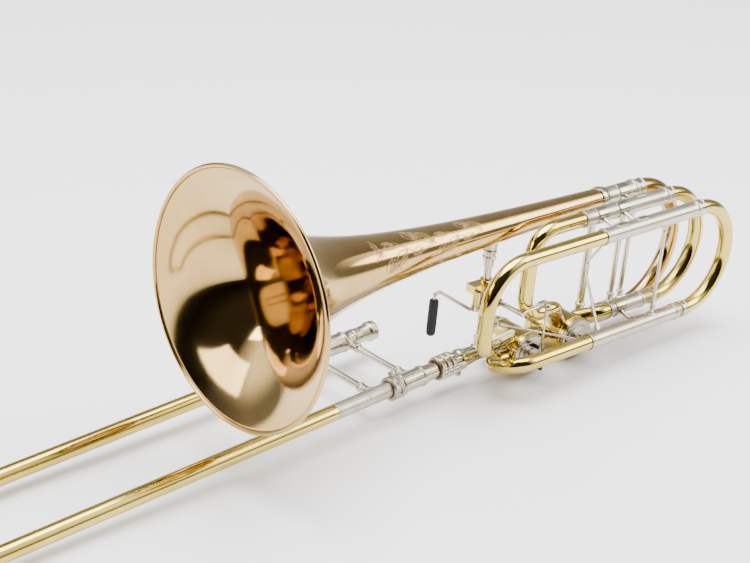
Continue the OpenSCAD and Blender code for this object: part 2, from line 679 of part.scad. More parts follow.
module inner_slide_tubes() {
  color([0.82, 0.82, 0.80]) on_slide() for (y = [0, slide_spacing])
    tube([-slide_length + 8, y, 0], [-34, y, 0], inner_tube_d, slide_bore);
}
module near_cork_barrel() {
  ri = inner_tube_d / 2 + solder_gap;
  color([0.74, 0.72, 0.64]) on_slide()
    // points run from the open end, up to the tenon that enters the receiver
    turned([[-barrel_end_u, 8.9], [-barrel_end_u, 10], [-33, 10], [-33, 10.5], [-30, 10.5],
            [-29, 9], [-12, 8.25], [0, 8.25], [4, 8.2], [20, 8.0], [20, slide_bore / 2],
            [-33, slide_bore / 2], [-33, ri], [-44, ri], [-44, 8.9]]);
}
module far_cork_barrel() {
  ri = inner_tube_d / 2 + solder_gap;
  color([0.74, 0.72, 0.64]) on_slide() at_far_tube()
    turned([[-barrel_end_u - 8, 8.9], [-barrel_end_u - 8, 10.2], [-barrel_end_u - 6, 10.8],
            [-46, 10.8], [-43, 9.6], [-40, 9.2], [-34, 9.2], [-34, ri], [-46, ri], [-46, 8.9]]);
}
module mouthpiece_receiver() {
  socket_r = 6.35;
  color([0.72, 0.70, 0.62]) on_slide() at_far_tube()
    turned([[-34 + solder_gap, slide_bore / 2 - 0.4], [-34 + solder_gap, 9.2], [-30, 9.2], [-14, 8.8],
            [-13, 10], [-12, 10.3], [-6, 10.5], [-4, 10.1], [-3, 9.2], [-3, socket_r],
            [-30, socket_r], [-32, slide_bore / 2 - 0.4]]);
}
// a cross tube between the two slide tubes, with a socket at each end
module cross_brace(u, near_r, far_r, tube_d, socket_d, socket_len) {
  difference() {
    union() {
      y0 = near_r - 1;
      y1 = slide_spacing - far_r + 1;
      tube([-u, y0, 0], [-u, y1, 0], tube_d);
      tube([-u, y0, 0], [-u, near_r + socket_len, 0], socket_d);
      tube([-u, slide_spacing - far_r - socket_len, 0], [-u, y1, 0], socket_d);
      // saddles that wrap a little of each tube
      for (end = [[0, near_r, 1], [slide_spacing, far_r, -1]]) intersection() {
        translate([-u - 8, end[0], 0]) rotate([0, 90, 0])
          linear_extrude(16) ring_section(2 * end[1] + 2.2, 2 * end[1]);
        translate([-u - 8, end[2] > 0 ? end[0] + 2 : end[0] - 2 - end[1] - 2, -7])
          cube([16, end[1] + 2, 14]);
      }
    }
    for (end = [[0, near_r], [slide_spacing, far_r]])
      translate([-u - 20, end[0], 0]) rotate([0, 90, 0]) cylinder(r = end[1] + solder_gap, h = 40);
  }
}
module inner_brace() {
  color([0.76, 0.75, 0.70]) on_slide() cross_brace(42, 10, 10.8, 6.6, 8.4, 14);
}
module bell_lock_nut() {
  clear = 0.1;
  color([0.72, 0.70, 0.62]) on_slide() {
    // three rounded knurled beads on one sleeve
    turned(concat(
      [[-12, 8.25 + clear], [-12, 10.2], [-11, 11.2]],
      [for (k = [0 : 2]) for (a = [150 : -30 : 30]) [-7 + 7.6 * k + 3.6 * cos(a), 10.6 + 1.9 * sin(a)]],
      [[12, 11], [12, 10.5 + clear], [-6.4, 10.5 + clear], [-6.4, 8.25 + clear]]));
  }
}
module slide_lock_ring() {
  clear = 0.06;
  color([0.70, 0.68, 0.60]) on_slide() {
    turned(concat(
      [[-75, 8.75], [-75, 9.8], [-74.2, 11]],
      [for (k = [0 : 2]) for (a = [150 : -30 : 30]) [-71.5 + 3.9 * k + 1.9 * cos(a), 11 + 1.1 * sin(a)]],
      [[-58, 10.6], [-58, 10 + clear], [-66.4, 10 + clear], [-66.4, 8.75]]));
    // lock tab with its knob
    translate([-60, 0, 0]) rotate([-62, 0, 0]) {
      translate([-3, -2.5, 10.4]) cube([6, 5, 2.4]);
      translate([0, 0, 12.4]) cylinder(r = 2.6, h = 4.4);
    }
  }
}

// ---------------------------------------------------------------- hand slide, outer part

top_end_u = 68;                 // where the outer slide stops inside the cork barrels
brass_start_u = 144;

module outer_slide_tubes() {
  color([0.84, 0.74, 0.42]) on_slide() for (y = [0, slide_spacing])
    tube([-slide_length, y, 0], [-brass_start_u - solder_gap, y, 0], outer_tube_d, outer_bore);
}
module outer_slide_tops() {
  color([0.80, 0.79, 0.74]) on_slide() for (y = [0, slide_spacing])
    tube([-brass_start_u, y, 0], [-top_end_u, y, 0], outer_top_d, outer_bore);
}
module outer_brace() {
  color([0.76, 0.75, 0.70]) on_slide()
    cross_brace(92, outer_top_d / 2, outer_top_d / 2, 7.4, 9, 16);
}
module slide_crook() {
  color([0.84, 0.74, 0.42]) on_slide() {
    // half-circle crook
    difference() {
      translate([-slide_length - solder_gap, crook_r, 0]) rotate([0, 0, 90])
        rotate_extrude(angle = 180) translate([crook_r, 0]) ring_section(crook_tube_d, outer_bore);
      tube([-slide_length - 22, 0, 0], [-slide_length - 22, 0, 30], 5);
    }
  }
}
module crook_bumper() {
  apex = -crook_end_u - crook_tube_d / 2;
  color([0.20, 0.19, 0.18]) on_slide() difference() {
    union() {
      tube([apex + 3, crook_r, 0], [apex - bumper_length + 5, crook_r, 0], 9);
      tube([apex - bumper_length + 5, crook_r, 0], [apex - bumper_length, crook_r, 0], 7);
      tube([apex + 1.5, crook_r, 0], [apex - 1.5, crook_r, 0], 11);
    }
    translate([-slide_length - solder_gap, crook_r, 0]) rotate([0, 0, 90])
      rotate_extrude(angle = 180) translate([crook_r, 0]) circle(d = crook_tube_d + 2 * solder_gap);
  }
}

// water key: a drain chimney on top of the crook's near leg, a saddle and a sprung lever
key_u = slide_length - 40;      // chimney
key_pivot_u = key_u - 20;
module water_key_seat() {
  color([0.84, 0.74, 0.42]) on_slide() difference() {
    union() {
      translate([-key_u, 0, 0]) cylinder(d = 8, h = 12);
      for (y = [-5.4, 3.4]) translate([-key_pivot_u - 3, y, 0]) cube([6, 2, 14.5]);
      intersection() {
        translate([-key_pivot_u - 7, 0, 0]) rotate([0, 90, 0]) cylinder(d = outer_tube_d + 2, h = 14);
        translate([-key_pivot_u - 7, -6, 2]) cube([14, 12, 20]);
      }
    }
    translate([-key_u - 60, 0, 0]) rotate([0, 90, 0]) cylinder(d = outer_tube_d + 2 * solder_gap, h = 120);
    translate([-key_u, 0, -1]) cylinder(d = 5, h = 20);
    translate([-key_pivot_u, -10, 12]) rotate([-90, 0, 0]) cylinder(r = 1.25 + running, h = 20);
  }
}
module water_key() {
  color([0.78, 0.76, 0.70]) on_slide() {
    y_cylinder(-key_pivot_u, 12, -6.4, 6.4, 1.25);
    y_cylinder(-key_pivot_u, 12, -2.6, 2.6, 2.8);
    // arm to the cork cup
    translate([-key_u - 2, -1.7, 13.3]) cube([key_u - key_pivot_u + 2.5, 3.4, 1.9]);
    translate([-key_u, 0, 12 + 0.4]) cylinder(r = 4.4, h = 2);
    translate([-key_u, 0, 13]) cylinder(r = 3, h = 3.2);
    // arm to the finger touch
    translate([-key_pivot_u, -1.5, 12.5]) rotate([0, -10, 0]) cube([26, 3, 1.9]);
    translate([-key_pivot_u + 27, 0, 16.4]) cylinder(r = 4.5, h = 2.2);
  }
}

// ---------------------------------------------------------------- the sub-parts

bell();
rim_wire();
bell_ferrule();
bell_brace();
slide_receiver();
neckpipe();
valve_1_casing();
valve_1_caps();
valve_link_tube();
valve_2_casing();
valve_2_caps();
main_lead_tube();
main_high_sleeve();
main_low_sleeve();
f_high_tube();
f_low_tube();
f_high_sleeve();
f_low_sleeve();
d_high_tube();
d_low_tube();
d_high_sleeve();
d_low_sleeve();
brace_post_1();
brace_post_2();
knee_brace();
loop_strut();
loop_bridges();
stop_bumpers();
thumb_bracket();
finger_clamp();
rotor_1();
stop_arm_1();
rotor_2();
stop_arm_2();
thumb_lever();
thumb_link();
finger_lever();
finger_grip();
finger_link_rod();
main_bow();
main_legs();
main_slide_brace();
f_bow();
f_legs();
d_bow();
d_legs();
inner_slide_tubes();
near_cork_barrel();
far_cork_barrel();
mouthpiece_receiver();
inner_brace();
bell_lock_nut();
slide_lock_ring();
outer_slide_tubes();
outer_slide_tops();
outer_brace();
slide_crook();
crook_bumper();
water_key_seat();
water_key();
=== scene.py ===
import json
import math

import bmesh
import bpy
import numpy as np
from mathutils import Matrix, Vector


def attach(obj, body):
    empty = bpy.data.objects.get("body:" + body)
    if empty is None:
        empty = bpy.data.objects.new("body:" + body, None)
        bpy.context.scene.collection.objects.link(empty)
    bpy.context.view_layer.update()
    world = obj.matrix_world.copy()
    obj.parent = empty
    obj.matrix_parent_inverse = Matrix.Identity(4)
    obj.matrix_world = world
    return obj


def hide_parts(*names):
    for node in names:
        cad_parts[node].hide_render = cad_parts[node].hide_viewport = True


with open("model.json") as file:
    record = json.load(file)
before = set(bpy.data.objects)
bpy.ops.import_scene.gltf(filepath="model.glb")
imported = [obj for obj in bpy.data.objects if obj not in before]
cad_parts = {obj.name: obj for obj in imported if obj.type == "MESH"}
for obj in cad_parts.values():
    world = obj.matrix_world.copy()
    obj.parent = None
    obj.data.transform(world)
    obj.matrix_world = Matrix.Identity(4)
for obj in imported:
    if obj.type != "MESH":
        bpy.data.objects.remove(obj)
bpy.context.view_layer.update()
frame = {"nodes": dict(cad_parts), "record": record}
print("frame loaded:", len(frame["nodes"]), "nodes")

# ---- the two working frames of the instrument, in millimetres, and how they stand on the floor
# bell frame: x from the rim towards the tuning slides, z up from the neckpipe axis, y away
# from the valve loops; slide frame: u from the bell-lock nut towards the crook, so x = -u

layout = {
    "nutX": 274.0,            # bell-lock nut, from the rim plane
    "slidePitch": 3.8,        # degrees the slide falls below the bell axis
    "slideSpacing": 99.5,
    "slideLength": 738.0,     # nut to the straight end of the outer tubes
    "bellAxisZ": 138.0,
    "valveX": (368.0, 440.0),
    "casingR": 23.0,
    "crookTubeR": 8.5,
    "bowEnd": (639.45, 72.75),   # furthest point of the first-valve loop, x and its z
    "bumper": 12.0,
}


def standOnFloor():
    # the lean is the slope of the line that touches the crook's tube and the valve casing from
    # below; the lift puts that line at z = 0, and the shift centres the box
    pitch = math.radians(layout["slidePitch"])
    endU = layout["slideLength"] + layout["slideSpacing"] / 2
    crookX = layout["nutX"] - endU * math.cos(pitch)
    crookZ = -endU * math.sin(pitch)
    valveX = layout["valveX"][1]
    span = math.hypot(valveX - crookX, crookZ)
    lean = math.atan2(-crookZ, valveX - crookX)
    lean -= math.asin((layout["casingR"] - layout["crookTubeR"]) / span)
    lift = layout["casingR"] + valveX * math.sin(lean)
    highX = layout["bowEnd"][0] * math.cos(lean) + layout["bowEnd"][1] * math.sin(lean)
    lowX = crookX * math.cos(lean) + crookZ * math.sin(lean)
    lowX -= layout["crookTubeR"] + layout["bumper"]
    return {"pitch": pitch, "lean": lean, "lift": lift, "shift": (highX + lowX) / 2}


stand = standOnFloor()


def tiltUp(points, angle):
    # turn about Y that carries +X down by the angle
    p = np.asarray(points, float)
    c, s = math.cos(angle), math.sin(angle)
    return np.stack([p[..., 0] * c + p[..., 2] * s, p[..., 1],
                     p[..., 2] * c - p[..., 0] * s], axis=-1)


def bellPlace(points):
    # bell frame in mm to the floor frame in metres
    p = tiltUp(points, stand["lean"])
    return (p + np.array([-stand["shift"], 0.0, stand["lift"]])) / 1000.0


def slideToBell(points):
    return tiltUp(points, -stand["pitch"]) + np.array([layout["nutX"], 0.0, 0.0])


def slidePlace(points):
    return bellPlace(slideToBell(points))


# ---- surfaces


def rounded(points, radius, count=4, closed=True):
    # every corner of an outline is replaced by a small arc: the arc's ends lie back along both
    # edges by the radius, or by 0.45 of the shorter edge, and it is a quadratic curve between them
    p = np.asarray(points, float)
    n = len(p)
    out = []
    for i in range(n):
        if not closed and i in (0, n - 1):
            out.append(p[i])
            continue
        before, after = p[i - 1] - p[i], p[(i + 1) % n] - p[i]
        la, lb = np.linalg.norm(before), np.linalg.norm(after)
        r = min(radius, 0.45 * la, 0.45 * lb)
        a, b = p[i] + before / la * r, p[i] + after / lb * r
        for t in np.linspace(0, 1, count):
            out.append((1 - t) ** 2 * a + 2 * t * (1 - t) * p[i] + t * t * b)
    return np.array(out)


def resampled(points, step, closed=True):
    # extra points on every edge that is longer than the step
    p = np.asarray(points, float)
    n = len(p)
    out = []
    for i in range(n if closed else n - 1):
        a, b = p[i], p[(i + 1) % n]
        k = max(1, int(math.ceil(np.linalg.norm(b - a) / step)))
        out.extend(a + (b - a) * t for t in np.arange(k) / k)
    if not closed:
        out.append(p[-1])
    return np.array(out)


def unitRows(v):
    return v / np.linalg.norm(v, axis=-1, keepdims=True)


def straightPath(a, b):
    a, b = np.asarray(a, float), np.asarray(b, float)
    return {"s": np.array([0.0, np.linalg.norm(b - a)]), "p": np.array([a, b]),
            "t": np.repeat(unitRows(b - a)[None], 2, axis=0)}


def bentPath(route, bends):
    # a route of straight lines whose corners are arcs: each arc starts r tan(angle / 2) before
    # its corner, and its points are centre - r cos(w) inward + r sin(w) forward
    route = np.asarray(route, float)
    dirs = unitRows(np.diff(route, axis=0))
    points, tangents = [route[0]], [dirs[0]]
    for i, r in enumerate(bends):
        d1, d2, corner = dirs[i], dirs[i + 1], route[i + 1]
        angle = math.acos(float(np.clip(d1 @ d2, -1, 1)))
        inward = unitRows(d2 - (d1 @ d2) * d1)
        start = corner - r * math.tan(angle / 2) * d1
        centre = start + r * inward
        w = np.linspace(0, angle, max(4, int(math.degrees(angle) / 2.5)))[:, None]
        points.extend(centre - r * np.cos(w) * inward + r * np.sin(w) * d1)
        tangents.extend(np.sin(w) * inward + np.cos(w) * d1)
    points.append(route[-1])
    tangents.append(dirs[-1])
    p, t = np.array(points), np.array(tangents)
    s = np.concatenate([[0], np.cumsum(np.linalg.norm(np.diff(p, axis=0), axis=1))])
    return {"s": s, "p": p, "t": t}


def carriedNormals(t):
    # the first normal is square to the path, and each next one is the last with what lies along
    # the new direction taken away
    first = np.cross(t[0], [0.0, 0.0, 1.0])
    if np.linalg.norm(first) < 0.2:
        first = np.cross(t[0], [0.0, 1.0, 0.0])
    normals = [first / np.linalg.norm(first)]
    for d in t[1:]:
        n = normals[-1] - (normals[-1] @ d) * d
        normals.append(n / np.linalg.norm(n))
    return np.array(normals)


def carry(path, profile, around=48, flutes=None):
    # rings of a profile carried along a path: ring i lies in the plane square to the path at
    # length s_i, with radius r_i; flutes = (count, depth, from, to) cut grooves round it
    profile = np.asarray(profile, float)
    s, r = profile[:, 0], profile[:, 1]
    normals = carriedNormals(path["t"])
    low, high = path["s"][0], path["s"][-1]
    inside = np.clip(s, low, high)
    pick = lambda rows: np.stack([np.interp(inside, path["s"], rows[:, k]) for k in range(3)], 1)
    t = unitRows(pick(path["t"]))
    n = pick(normals)
    n = unitRows(n - (n * t).sum(1, keepdims=True) * t)
    b = np.cross(t, n)
    centre = pick(path["p"]) + t * (s - inside)[:, None]
    w = np.linspace(0, 2 * math.pi, around, endpoint=False)
    radius = np.repeat(r[:, None], around, axis=1)
    if flutes:
        count, depth, start, end = flutes
        edge = np.clip((s - start) / 0.6, 0, 1) * np.clip((end - s) / 0.6, 0, 1)
        cut = 0.5 - 0.5 * np.cos(count * w)
        radius = radius - depth * edge[:, None] * cut[None] * (r > 0.5 * r.max())[:, None]
    return (centre[:, None] + radius[..., None]
            * (np.cos(w)[None, :, None] * n[:, None] + np.sin(w)[None, :, None] * b[:, None]))


def gridMesh(name, grid, wrap, sharp=34.0):
    # quads between neighbouring rings, round each ring and, where wrap is set, from the last ring
    # to the first; otherwise the end rings shrink to one point each and close with a fan
    rings, around = grid.shape[:2]
    verts = grid.reshape(-1, 3)
    lengths = np.linalg.norm(np.diff(grid, axis=0), axis=2).mean(1)
    v = np.concatenate([[0], np.cumsum(lengths)])
    if wrap:
        v = np.append(v, v[-1] + np.linalg.norm(grid[0] - grid[-1], axis=1).mean())
    i = np.arange(rings if wrap else rings - 1)[:, None]
    j = np.arange(around)[None]
    i2, j2 = (i + 1) % rings, (j + 1) % around
    quads = np.stack([i * around + j, i * around + j2, i2 * around + j2, i2 * around + j], -1)
    quads = quads.reshape(-1, 4)
    one = np.ones_like(j)
    u0, u1 = j / around * np.ones_like(i), (j + 1) / around * np.ones_like(i)
    v0, v1 = v[i] * one, v[i + 1] * one
    uv = np.stack([np.stack([u0, v0], -1), np.stack([u1, v0], -1),
                   np.stack([u1, v1], -1), np.stack([u0, v1], -1)], 2).reshape(-1, 2)
    mesh = bpy.data.meshes.new(name)
    mesh.vertices.add(len(verts))
    mesh.vertices.foreach_set("co", verts.astype(np.float32).ravel())
    mesh.loops.add(quads.size)
    mesh.loops.foreach_set("vertex_index", quads.astype(np.int32).ravel())
    mesh.polygons.add(len(quads))
    mesh.polygons.foreach_set("loop_start", np.arange(0, quads.size, 4, dtype=np.int32))
    mesh.polygons.foreach_set("loop_total", np.full(len(quads), 4, dtype=np.int32))
    layer = mesh.uv_layers.new(name="wrap")
    layer.data.foreach_set("uv", uv.astype(np.float32).ravel())
    mesh.update()
    bm = bmesh.new()
    bm.from_mesh(mesh)
    bmesh.ops.remove_doubles(bm, verts=bm.verts, dist=1e-7)
    bmesh.ops.dissolve_degenerate(bm, dist=1e-7, edges=bm.edges)
    bmesh.ops.recalc_face_normals(bm, faces=bm.faces)
    bm.to_mesh(mesh)
    bm.free()
    mesh.shade_smooth()
    mesh.set_sharp_from_angle(angle=math.radians(sharp))
    return mesh


finishes = {}


def addPiece(name, mesh, body, finish, stands=()):
    obj = bpy.data.objects.new(name, mesh)
    bpy.context.scene.collection.objects.link(obj)
    mesh.materials.append(finishes[finish]["material"])
    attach(obj, body)
    if stands:
        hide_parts(*stands)
    return obj


def turned(name, a, b, profile, body, finish, stands=(), place=bellPlace, solid=False,
           around=56, flutes=None, corner=0.35, step=None, count=4):
    # a lathe piece: the profile's first number is the distance from a towards b
    outline = rounded(profile, corner, count, closed=not solid)
    if step:
        outline = resampled(outline, step, closed=not solid)
    grid = place(carry(straightPath(a, b), outline, around, flutes))
    return addPiece(name, gridMesh(name, grid, not solid), body, finish, stands)


def pipe(name, path, profile, body, finish, stands=(), place=bellPlace, wrap=True, around=40,
         step=3.0, corner=0.3):
    outline = resampled(rounded(profile, corner, 4, closed=wrap), step, closed=wrap)
    grid = place(carry(path, outline, around))
    return addPiece(name, gridMesh(name, grid, wrap), body, finish, stands)


def tubeWall(s0, s1, r, bore):
    # closed outline of a plain tube wall
    return [(s0, bore), (s0, r), (s1, r), (s1, bore)]


def collar(s0, s1, r, out, bead):
    # closed outline of a ring soldered round a tube of radius r, with a bead at each end
    w = min(1.6, 0.3 * (s1 - s0))
    return [(s0, r - 0.3), (s0, out + bead), (s0 + w, out + bead), (s0 + w * 1.3, out),
            (s1 - w * 1.3, out), (s1 - w, out + bead), (s1, out + bead), (s1, r - 0.3)]


def ovalFoot(name, centre, axis, outward, r, halfLength, halfWidth, thick, body, finish,
             place=bellPlace):
    # an oval plate bent onto a tube of radius r: at polar position (q, f) its height over the
    # tube is thick (1 - q^6)^0.5, the length along the tube halfLength q cos f, and the angle
    # round the tube (halfWidth / r) q sin f; its underside closes just inside the tube
    axis, outward = unitRows(np.asarray(axis, float)), unitRows(np.asarray(outward, float))
    side = np.cross(axis, outward)
    q = np.concatenate([np.linspace(0, 0.9, 6), [0.95, 0.985, 1.0, 1.0, 0.5, 0.0]])
    height = np.where(np.arange(12) < 9, thick * np.sqrt(np.clip(1 - q ** 6, 0, 1)), -0.4)
    f = np.linspace(0, 2 * math.pi, 40, endpoint=False)
    angle = halfWidth / r * q[:, None] * np.sin(f)[None]
    along = halfLength * q[:, None] * np.cos(f)[None]
    rr = (r + height)[:, None] * np.ones_like(angle)
    grid = (np.asarray(centre, float) + along[..., None] * axis
            + (rr * np.cos(angle))[..., None] * outward + (rr * np.sin(angle))[..., None] * side)
    return addPiece(name, gridMesh(name, place(grid), False), body, finish)


# ---- shader expressions


class Value:
    # a socket in a sheet of nodes; arithmetic on it adds Math nodes
    def __init__(self, sheet, socket):
        self.sheet, self.socket = sheet, socket

    def maths(self, operation, *others):
        return self.sheet.add("ShaderNodeMath", {"operation": operation}, self, *others).out()

    def __add__(self, other): return self.maths("ADD", other)
    def __radd__(self, other): return self.maths("ADD", other)
    def __sub__(self, other): return self.maths("SUBTRACT", other)
    def __rsub__(self, other): return self.sheet.wrap(other).maths("SUBTRACT", self)
    def __mul__(self, other): return self.maths("MULTIPLY", other)
    def __rmul__(self, other): return self.maths("MULTIPLY", other)
    def __truediv__(self, other): return self.maths("DIVIDE", other)
    def __rtruediv__(self, other): return self.sheet.wrap(other).maths("DIVIDE", self)
    def __pow__(self, other): return self.maths("POWER", other)
    def __neg__(self): return self.maths("MULTIPLY", -1.0)
    def __abs__(self): return self.maths("ABSOLUTE")
    def sin(self): return self.maths("SINE")
    def cos(self): return self.maths("COSINE")
    def fract(self): return self.maths("FRACT")
    def above(self, edge): return self.maths("GREATER_THAN", edge)
    def below(self, edge): return self.maths("LESS_THAN", edge)
    def most(self, other): return self.maths("MAXIMUM", other)
    def least(self, other): return self.maths("MINIMUM", other)

    def ramp(self, low, high):
        # 0 below low, 1 above high, a smooth step between
        node = self.sheet.add("ShaderNodeMapRange", {"interpolation_type": "SMOOTHSTEP"})
        self.sheet.feed(node.node.inputs["Value"], self)
        self.sheet.feed(node.node.inputs["From Min"], low)
        self.sheet.feed(node.node.inputs["From Max"], high)
        return node.out("Result")


class Added:
    def __init__(self, sheet, node):
        self.sheet, self.node = sheet, node

    def out(self, name=0):
        return Value(self.sheet, self.node.outputs[name])


class Sheet:
    # the nodes of one material
    def __init__(self, name):
        self.material = bpy.data.materials.new(name)
        self.material.use_nodes = True
        self.tree = self.material.node_tree
        self.shader = self.tree.nodes["Principled BSDF"]
        self.coords = self.add("ShaderNodeTexCoord")

    def feed(self, socket, value):
        if isinstance(value, Value):
            self.tree.links.new(value.socket, socket)
        else:
            socket.default_value = value

    def add(self, kind, settings=None, *ordered, **named):
        # a node of that kind: its settings first, then its sockets in order or by name
        node = self.tree.nodes.new(kind)
        for key, value in (settings or {}).items():
            setattr(node, key, value)
        for socket, value in zip(node.inputs, ordered):
            self.feed(socket, value)
        for key, value in named.items():
            self.feed(node.inputs[key], value)
        return Added(self, node)

    def wrap(self, number):
        node = self.add("ShaderNodeMath", {"operation": "ADD"}, float(number), 0.0)
        return node.out()

    def objectPoint(self):
        return self.coords.out("Object")

    def uvPoint(self):
        return self.coords.out("UV")

    def split(self, vector):
        node = self.add("ShaderNodeSeparateXYZ", None, vector)
        return node.out("X"), node.out("Y"), node.out("Z")

    def join(self, x, y, z=0.0):
        return self.add("ShaderNodeCombineXYZ", None, x, y, z).out()

    def scaled(self, vector, x, y, z):
        node = self.add("ShaderNodeVectorMath", {"operation": "MULTIPLY"}, vector, (x, y, z))
        return node.out()

    def noise(self, vector, scale, detail=3.0, rough=0.55, warp=0.0):
        node = self.add("ShaderNodeTexNoise", {"noise_dimensions": "3D"}, Vector=vector,
                        Scale=scale, Detail=detail, Roughness=rough, Distortion=warp)
        return node.out("Fac") if "Fac" in node.node.outputs else node.out(0)

    def blend(self, factor, a, b):
        # a colour between a and b
        node = self.add("ShaderNodeMix", {"data_type": "RGBA"})
        self.feed(node.node.inputs[0], factor)
        for index, value in ((6, a), (7, b)):
            socket = node.node.inputs[index]
            if isinstance(value, Value):
                self.tree.links.new(value.socket, socket)
            else:
                socket.default_value = (*value, 1.0)
        return Value(self, node.node.outputs[2])

    def bump(self, height, distance, strength=1.0, under=None):
        node = self.add("ShaderNodeBump", None, Height=height, Distance=distance,
                        Strength=strength)
        if under is not None:
            self.feed(node.node.inputs["Normal"], under)
        return node.out("Normal")

    def finish(self, colour, roughness, normal=None, metallic=1.0, **fixed):
        inputs = self.shader.inputs
        if isinstance(colour, Value):
            self.tree.links.new(colour.socket, inputs["Base Color"])
        else:
            inputs["Base Color"].default_value = (*colour, 1.0)
        self.feed(inputs["Roughness"], roughness)
        self.feed(inputs["Metallic"], metallic)
        if normal is not None:
            self.feed(inputs["Normal"], normal)
        for key, value in fixed.items():
            inputs[key].default_value = value
        return self.material


def addFinish(key, slotName, material):
    finishes[key] = {"material": material, "slot": slotName}


# ---- finishes


def polishedMetal(key, slotName, look):
    # drawn and buffed metal: cloudy colour, age spots, fine rubbing marks round the piece and
    # a slow waviness in the wall
    sheet = Sheet(key)
    point, wrapped = sheet.objectPoint(), sheet.uvPoint()
    cloud = sheet.noise(point, look["cloudScale"], 4.0, 0.6, 0.4)
    fine = sheet.noise(point, 420.0, 3.0, 0.6)
    spotField = sheet.noise(point, look["spotScale"], 5.0, 0.65, 0.8)
    spots = spotField.ramp(look["spotFrom"], look["spotFrom"] + 0.07)
    marks = sheet.noise(sheet.scaled(wrapped, 14.0, 2600.0, 1.0), 1.0, 2.0, 0.5)
    scratchField = sheet.noise(sheet.scaled(wrapped, 90.0, 240.0, 1.0), 1.0, 3.0, 0.7, 2.2)
    scratches = 1.0 - abs(scratchField - 0.5).ramp(0.0, 0.012)
    colour = sheet.blend(cloud.ramp(0.35, 0.72), look["colour"], look["deep"])
    colour = sheet.blend(spots * look["spotMix"], colour, look["spot"])
    roughness = (look["rough"] + (cloud - 0.5) * look["roughVary"] + (fine - 0.5) * 0.03
                 + spots * look["spotRough"] + scratches * look["scratchRough"]
                 + (marks - 0.5) * look["brush"])
    wave = sheet.noise(point, 26.0, 1.0, 0.4)
    normal = sheet.bump(wave, look["waveDepth"])
    normal = sheet.bump(marks * 0.6 - scratches * 0.5 - spots * 0.5, look["markDepth"],
                        1.0, normal)
    material = sheet.finish(colour, roughness.most(0.02), normal, 1.0,
                            **{"Coat Weight": look["coat"], "Coat Roughness": 0.04,
                               "Coat IOR": 1.5})
    addFinish(key, slotName, material)
    return material


yellowLook = {
    "colour": (0.66, 0.51, 0.12), "deep": (0.50, 0.36, 0.065), "cloudScale": 9.0,
    "spot": (0.40, 0.24, 0.09), "spotScale": 160.0, "spotFrom": 0.70, "spotMix": 0.5,
    "rough": 0.085, "roughVary": 0.05, "spotRough": 0.2, "scratchRough": 0.05, "brush": 0.02,
    "waveDepth": 0.0004, "markDepth": 0.000015, "coat": 0.15,
}
nickelLook = {
    "colour": (0.55, 0.50, 0.39), "deep": (0.42, 0.37, 0.27), "cloudScale": 22.0,
    "spot": (0.42, 0.36, 0.25), "spotScale": 120.0, "spotFrom": 0.63, "spotMix": 0.55,
    "rough": 0.16, "roughVary": 0.12, "spotRough": 0.18, "scratchRough": 0.08, "brush": 0.05,
    "waveDepth": 0.0003, "markDepth": 0.00003, "coat": 0.0,
}
chromeLook = dict(nickelLook, colour=(0.80, 0.80, 0.79), deep=(0.74, 0.74, 0.72), rough=0.07,
                  roughVary=0.04, spotMix=0.25, spotFrom=0.72, markDepth=0.00001)
bronzeLook = dict(yellowLook, colour=(0.60, 0.47, 0.27), deep=(0.46, 0.33, 0.17), rough=0.24,
                  roughVary=0.14, brush=0.1, coat=0.0, markDepth=0.00004)
darkNickelLook = dict(nickelLook, colour=(0.50, 0.46, 0.37), deep=(0.34, 0.30, 0.22), rough=0.22,
                      spotFrom=0.57)

satinLook = dict(nickelLook, colour=(0.55, 0.50, 0.40), deep=(0.46, 0.41, 0.31), rough=0.27,
                 brush=0.10, spotFrom=0.66, markDepth=0.00004)
frostLook = dict(nickelLook, colour=(0.53, 0.48, 0.38), deep=(0.42, 0.37, 0.28), rough=0.34,
                 roughVary=0.22, cloudScale=60.0, spotFrom=0.60, markDepth=0.00005)
patinaLook = dict(nickelLook, colour=(0.20, 0.16, 0.10), deep=(0.11, 0.08, 0.05), rough=0.45,
                  roughVary=0.2, spotMix=0.3)
agedLook = dict(yellowLook, colour=(0.52, 0.41, 0.20), deep=(0.36, 0.28, 0.13), cloudScale=40.0,
                spotFrom=0.58, rough=0.34, roughVary=0.2, brush=0.12, coat=0.0,
                markDepth=0.00004)

polishedMetal("yellowBrass", "yellow_brass", yellowLook)
polishedMetal("satinNickel", "nickel_silver", satinLook)
polishedMetal("frostedNickel", "nickel_silver", frostLook)
polishedMetal("patina", "nickel_silver", patinaLook)
polishedMetal("agedBrass", "nickel_silver", agedLook)
polishedMetal("nickelSilver", "nickel_silver", nickelLook)
polishedMetal("wornNickel", "nickel_silver", darkNickelLook)
polishedMetal("hardChrome", "hard_chrome", chromeLook)
polishedMetal("rotorBronze", "bronze", bronzeLook)


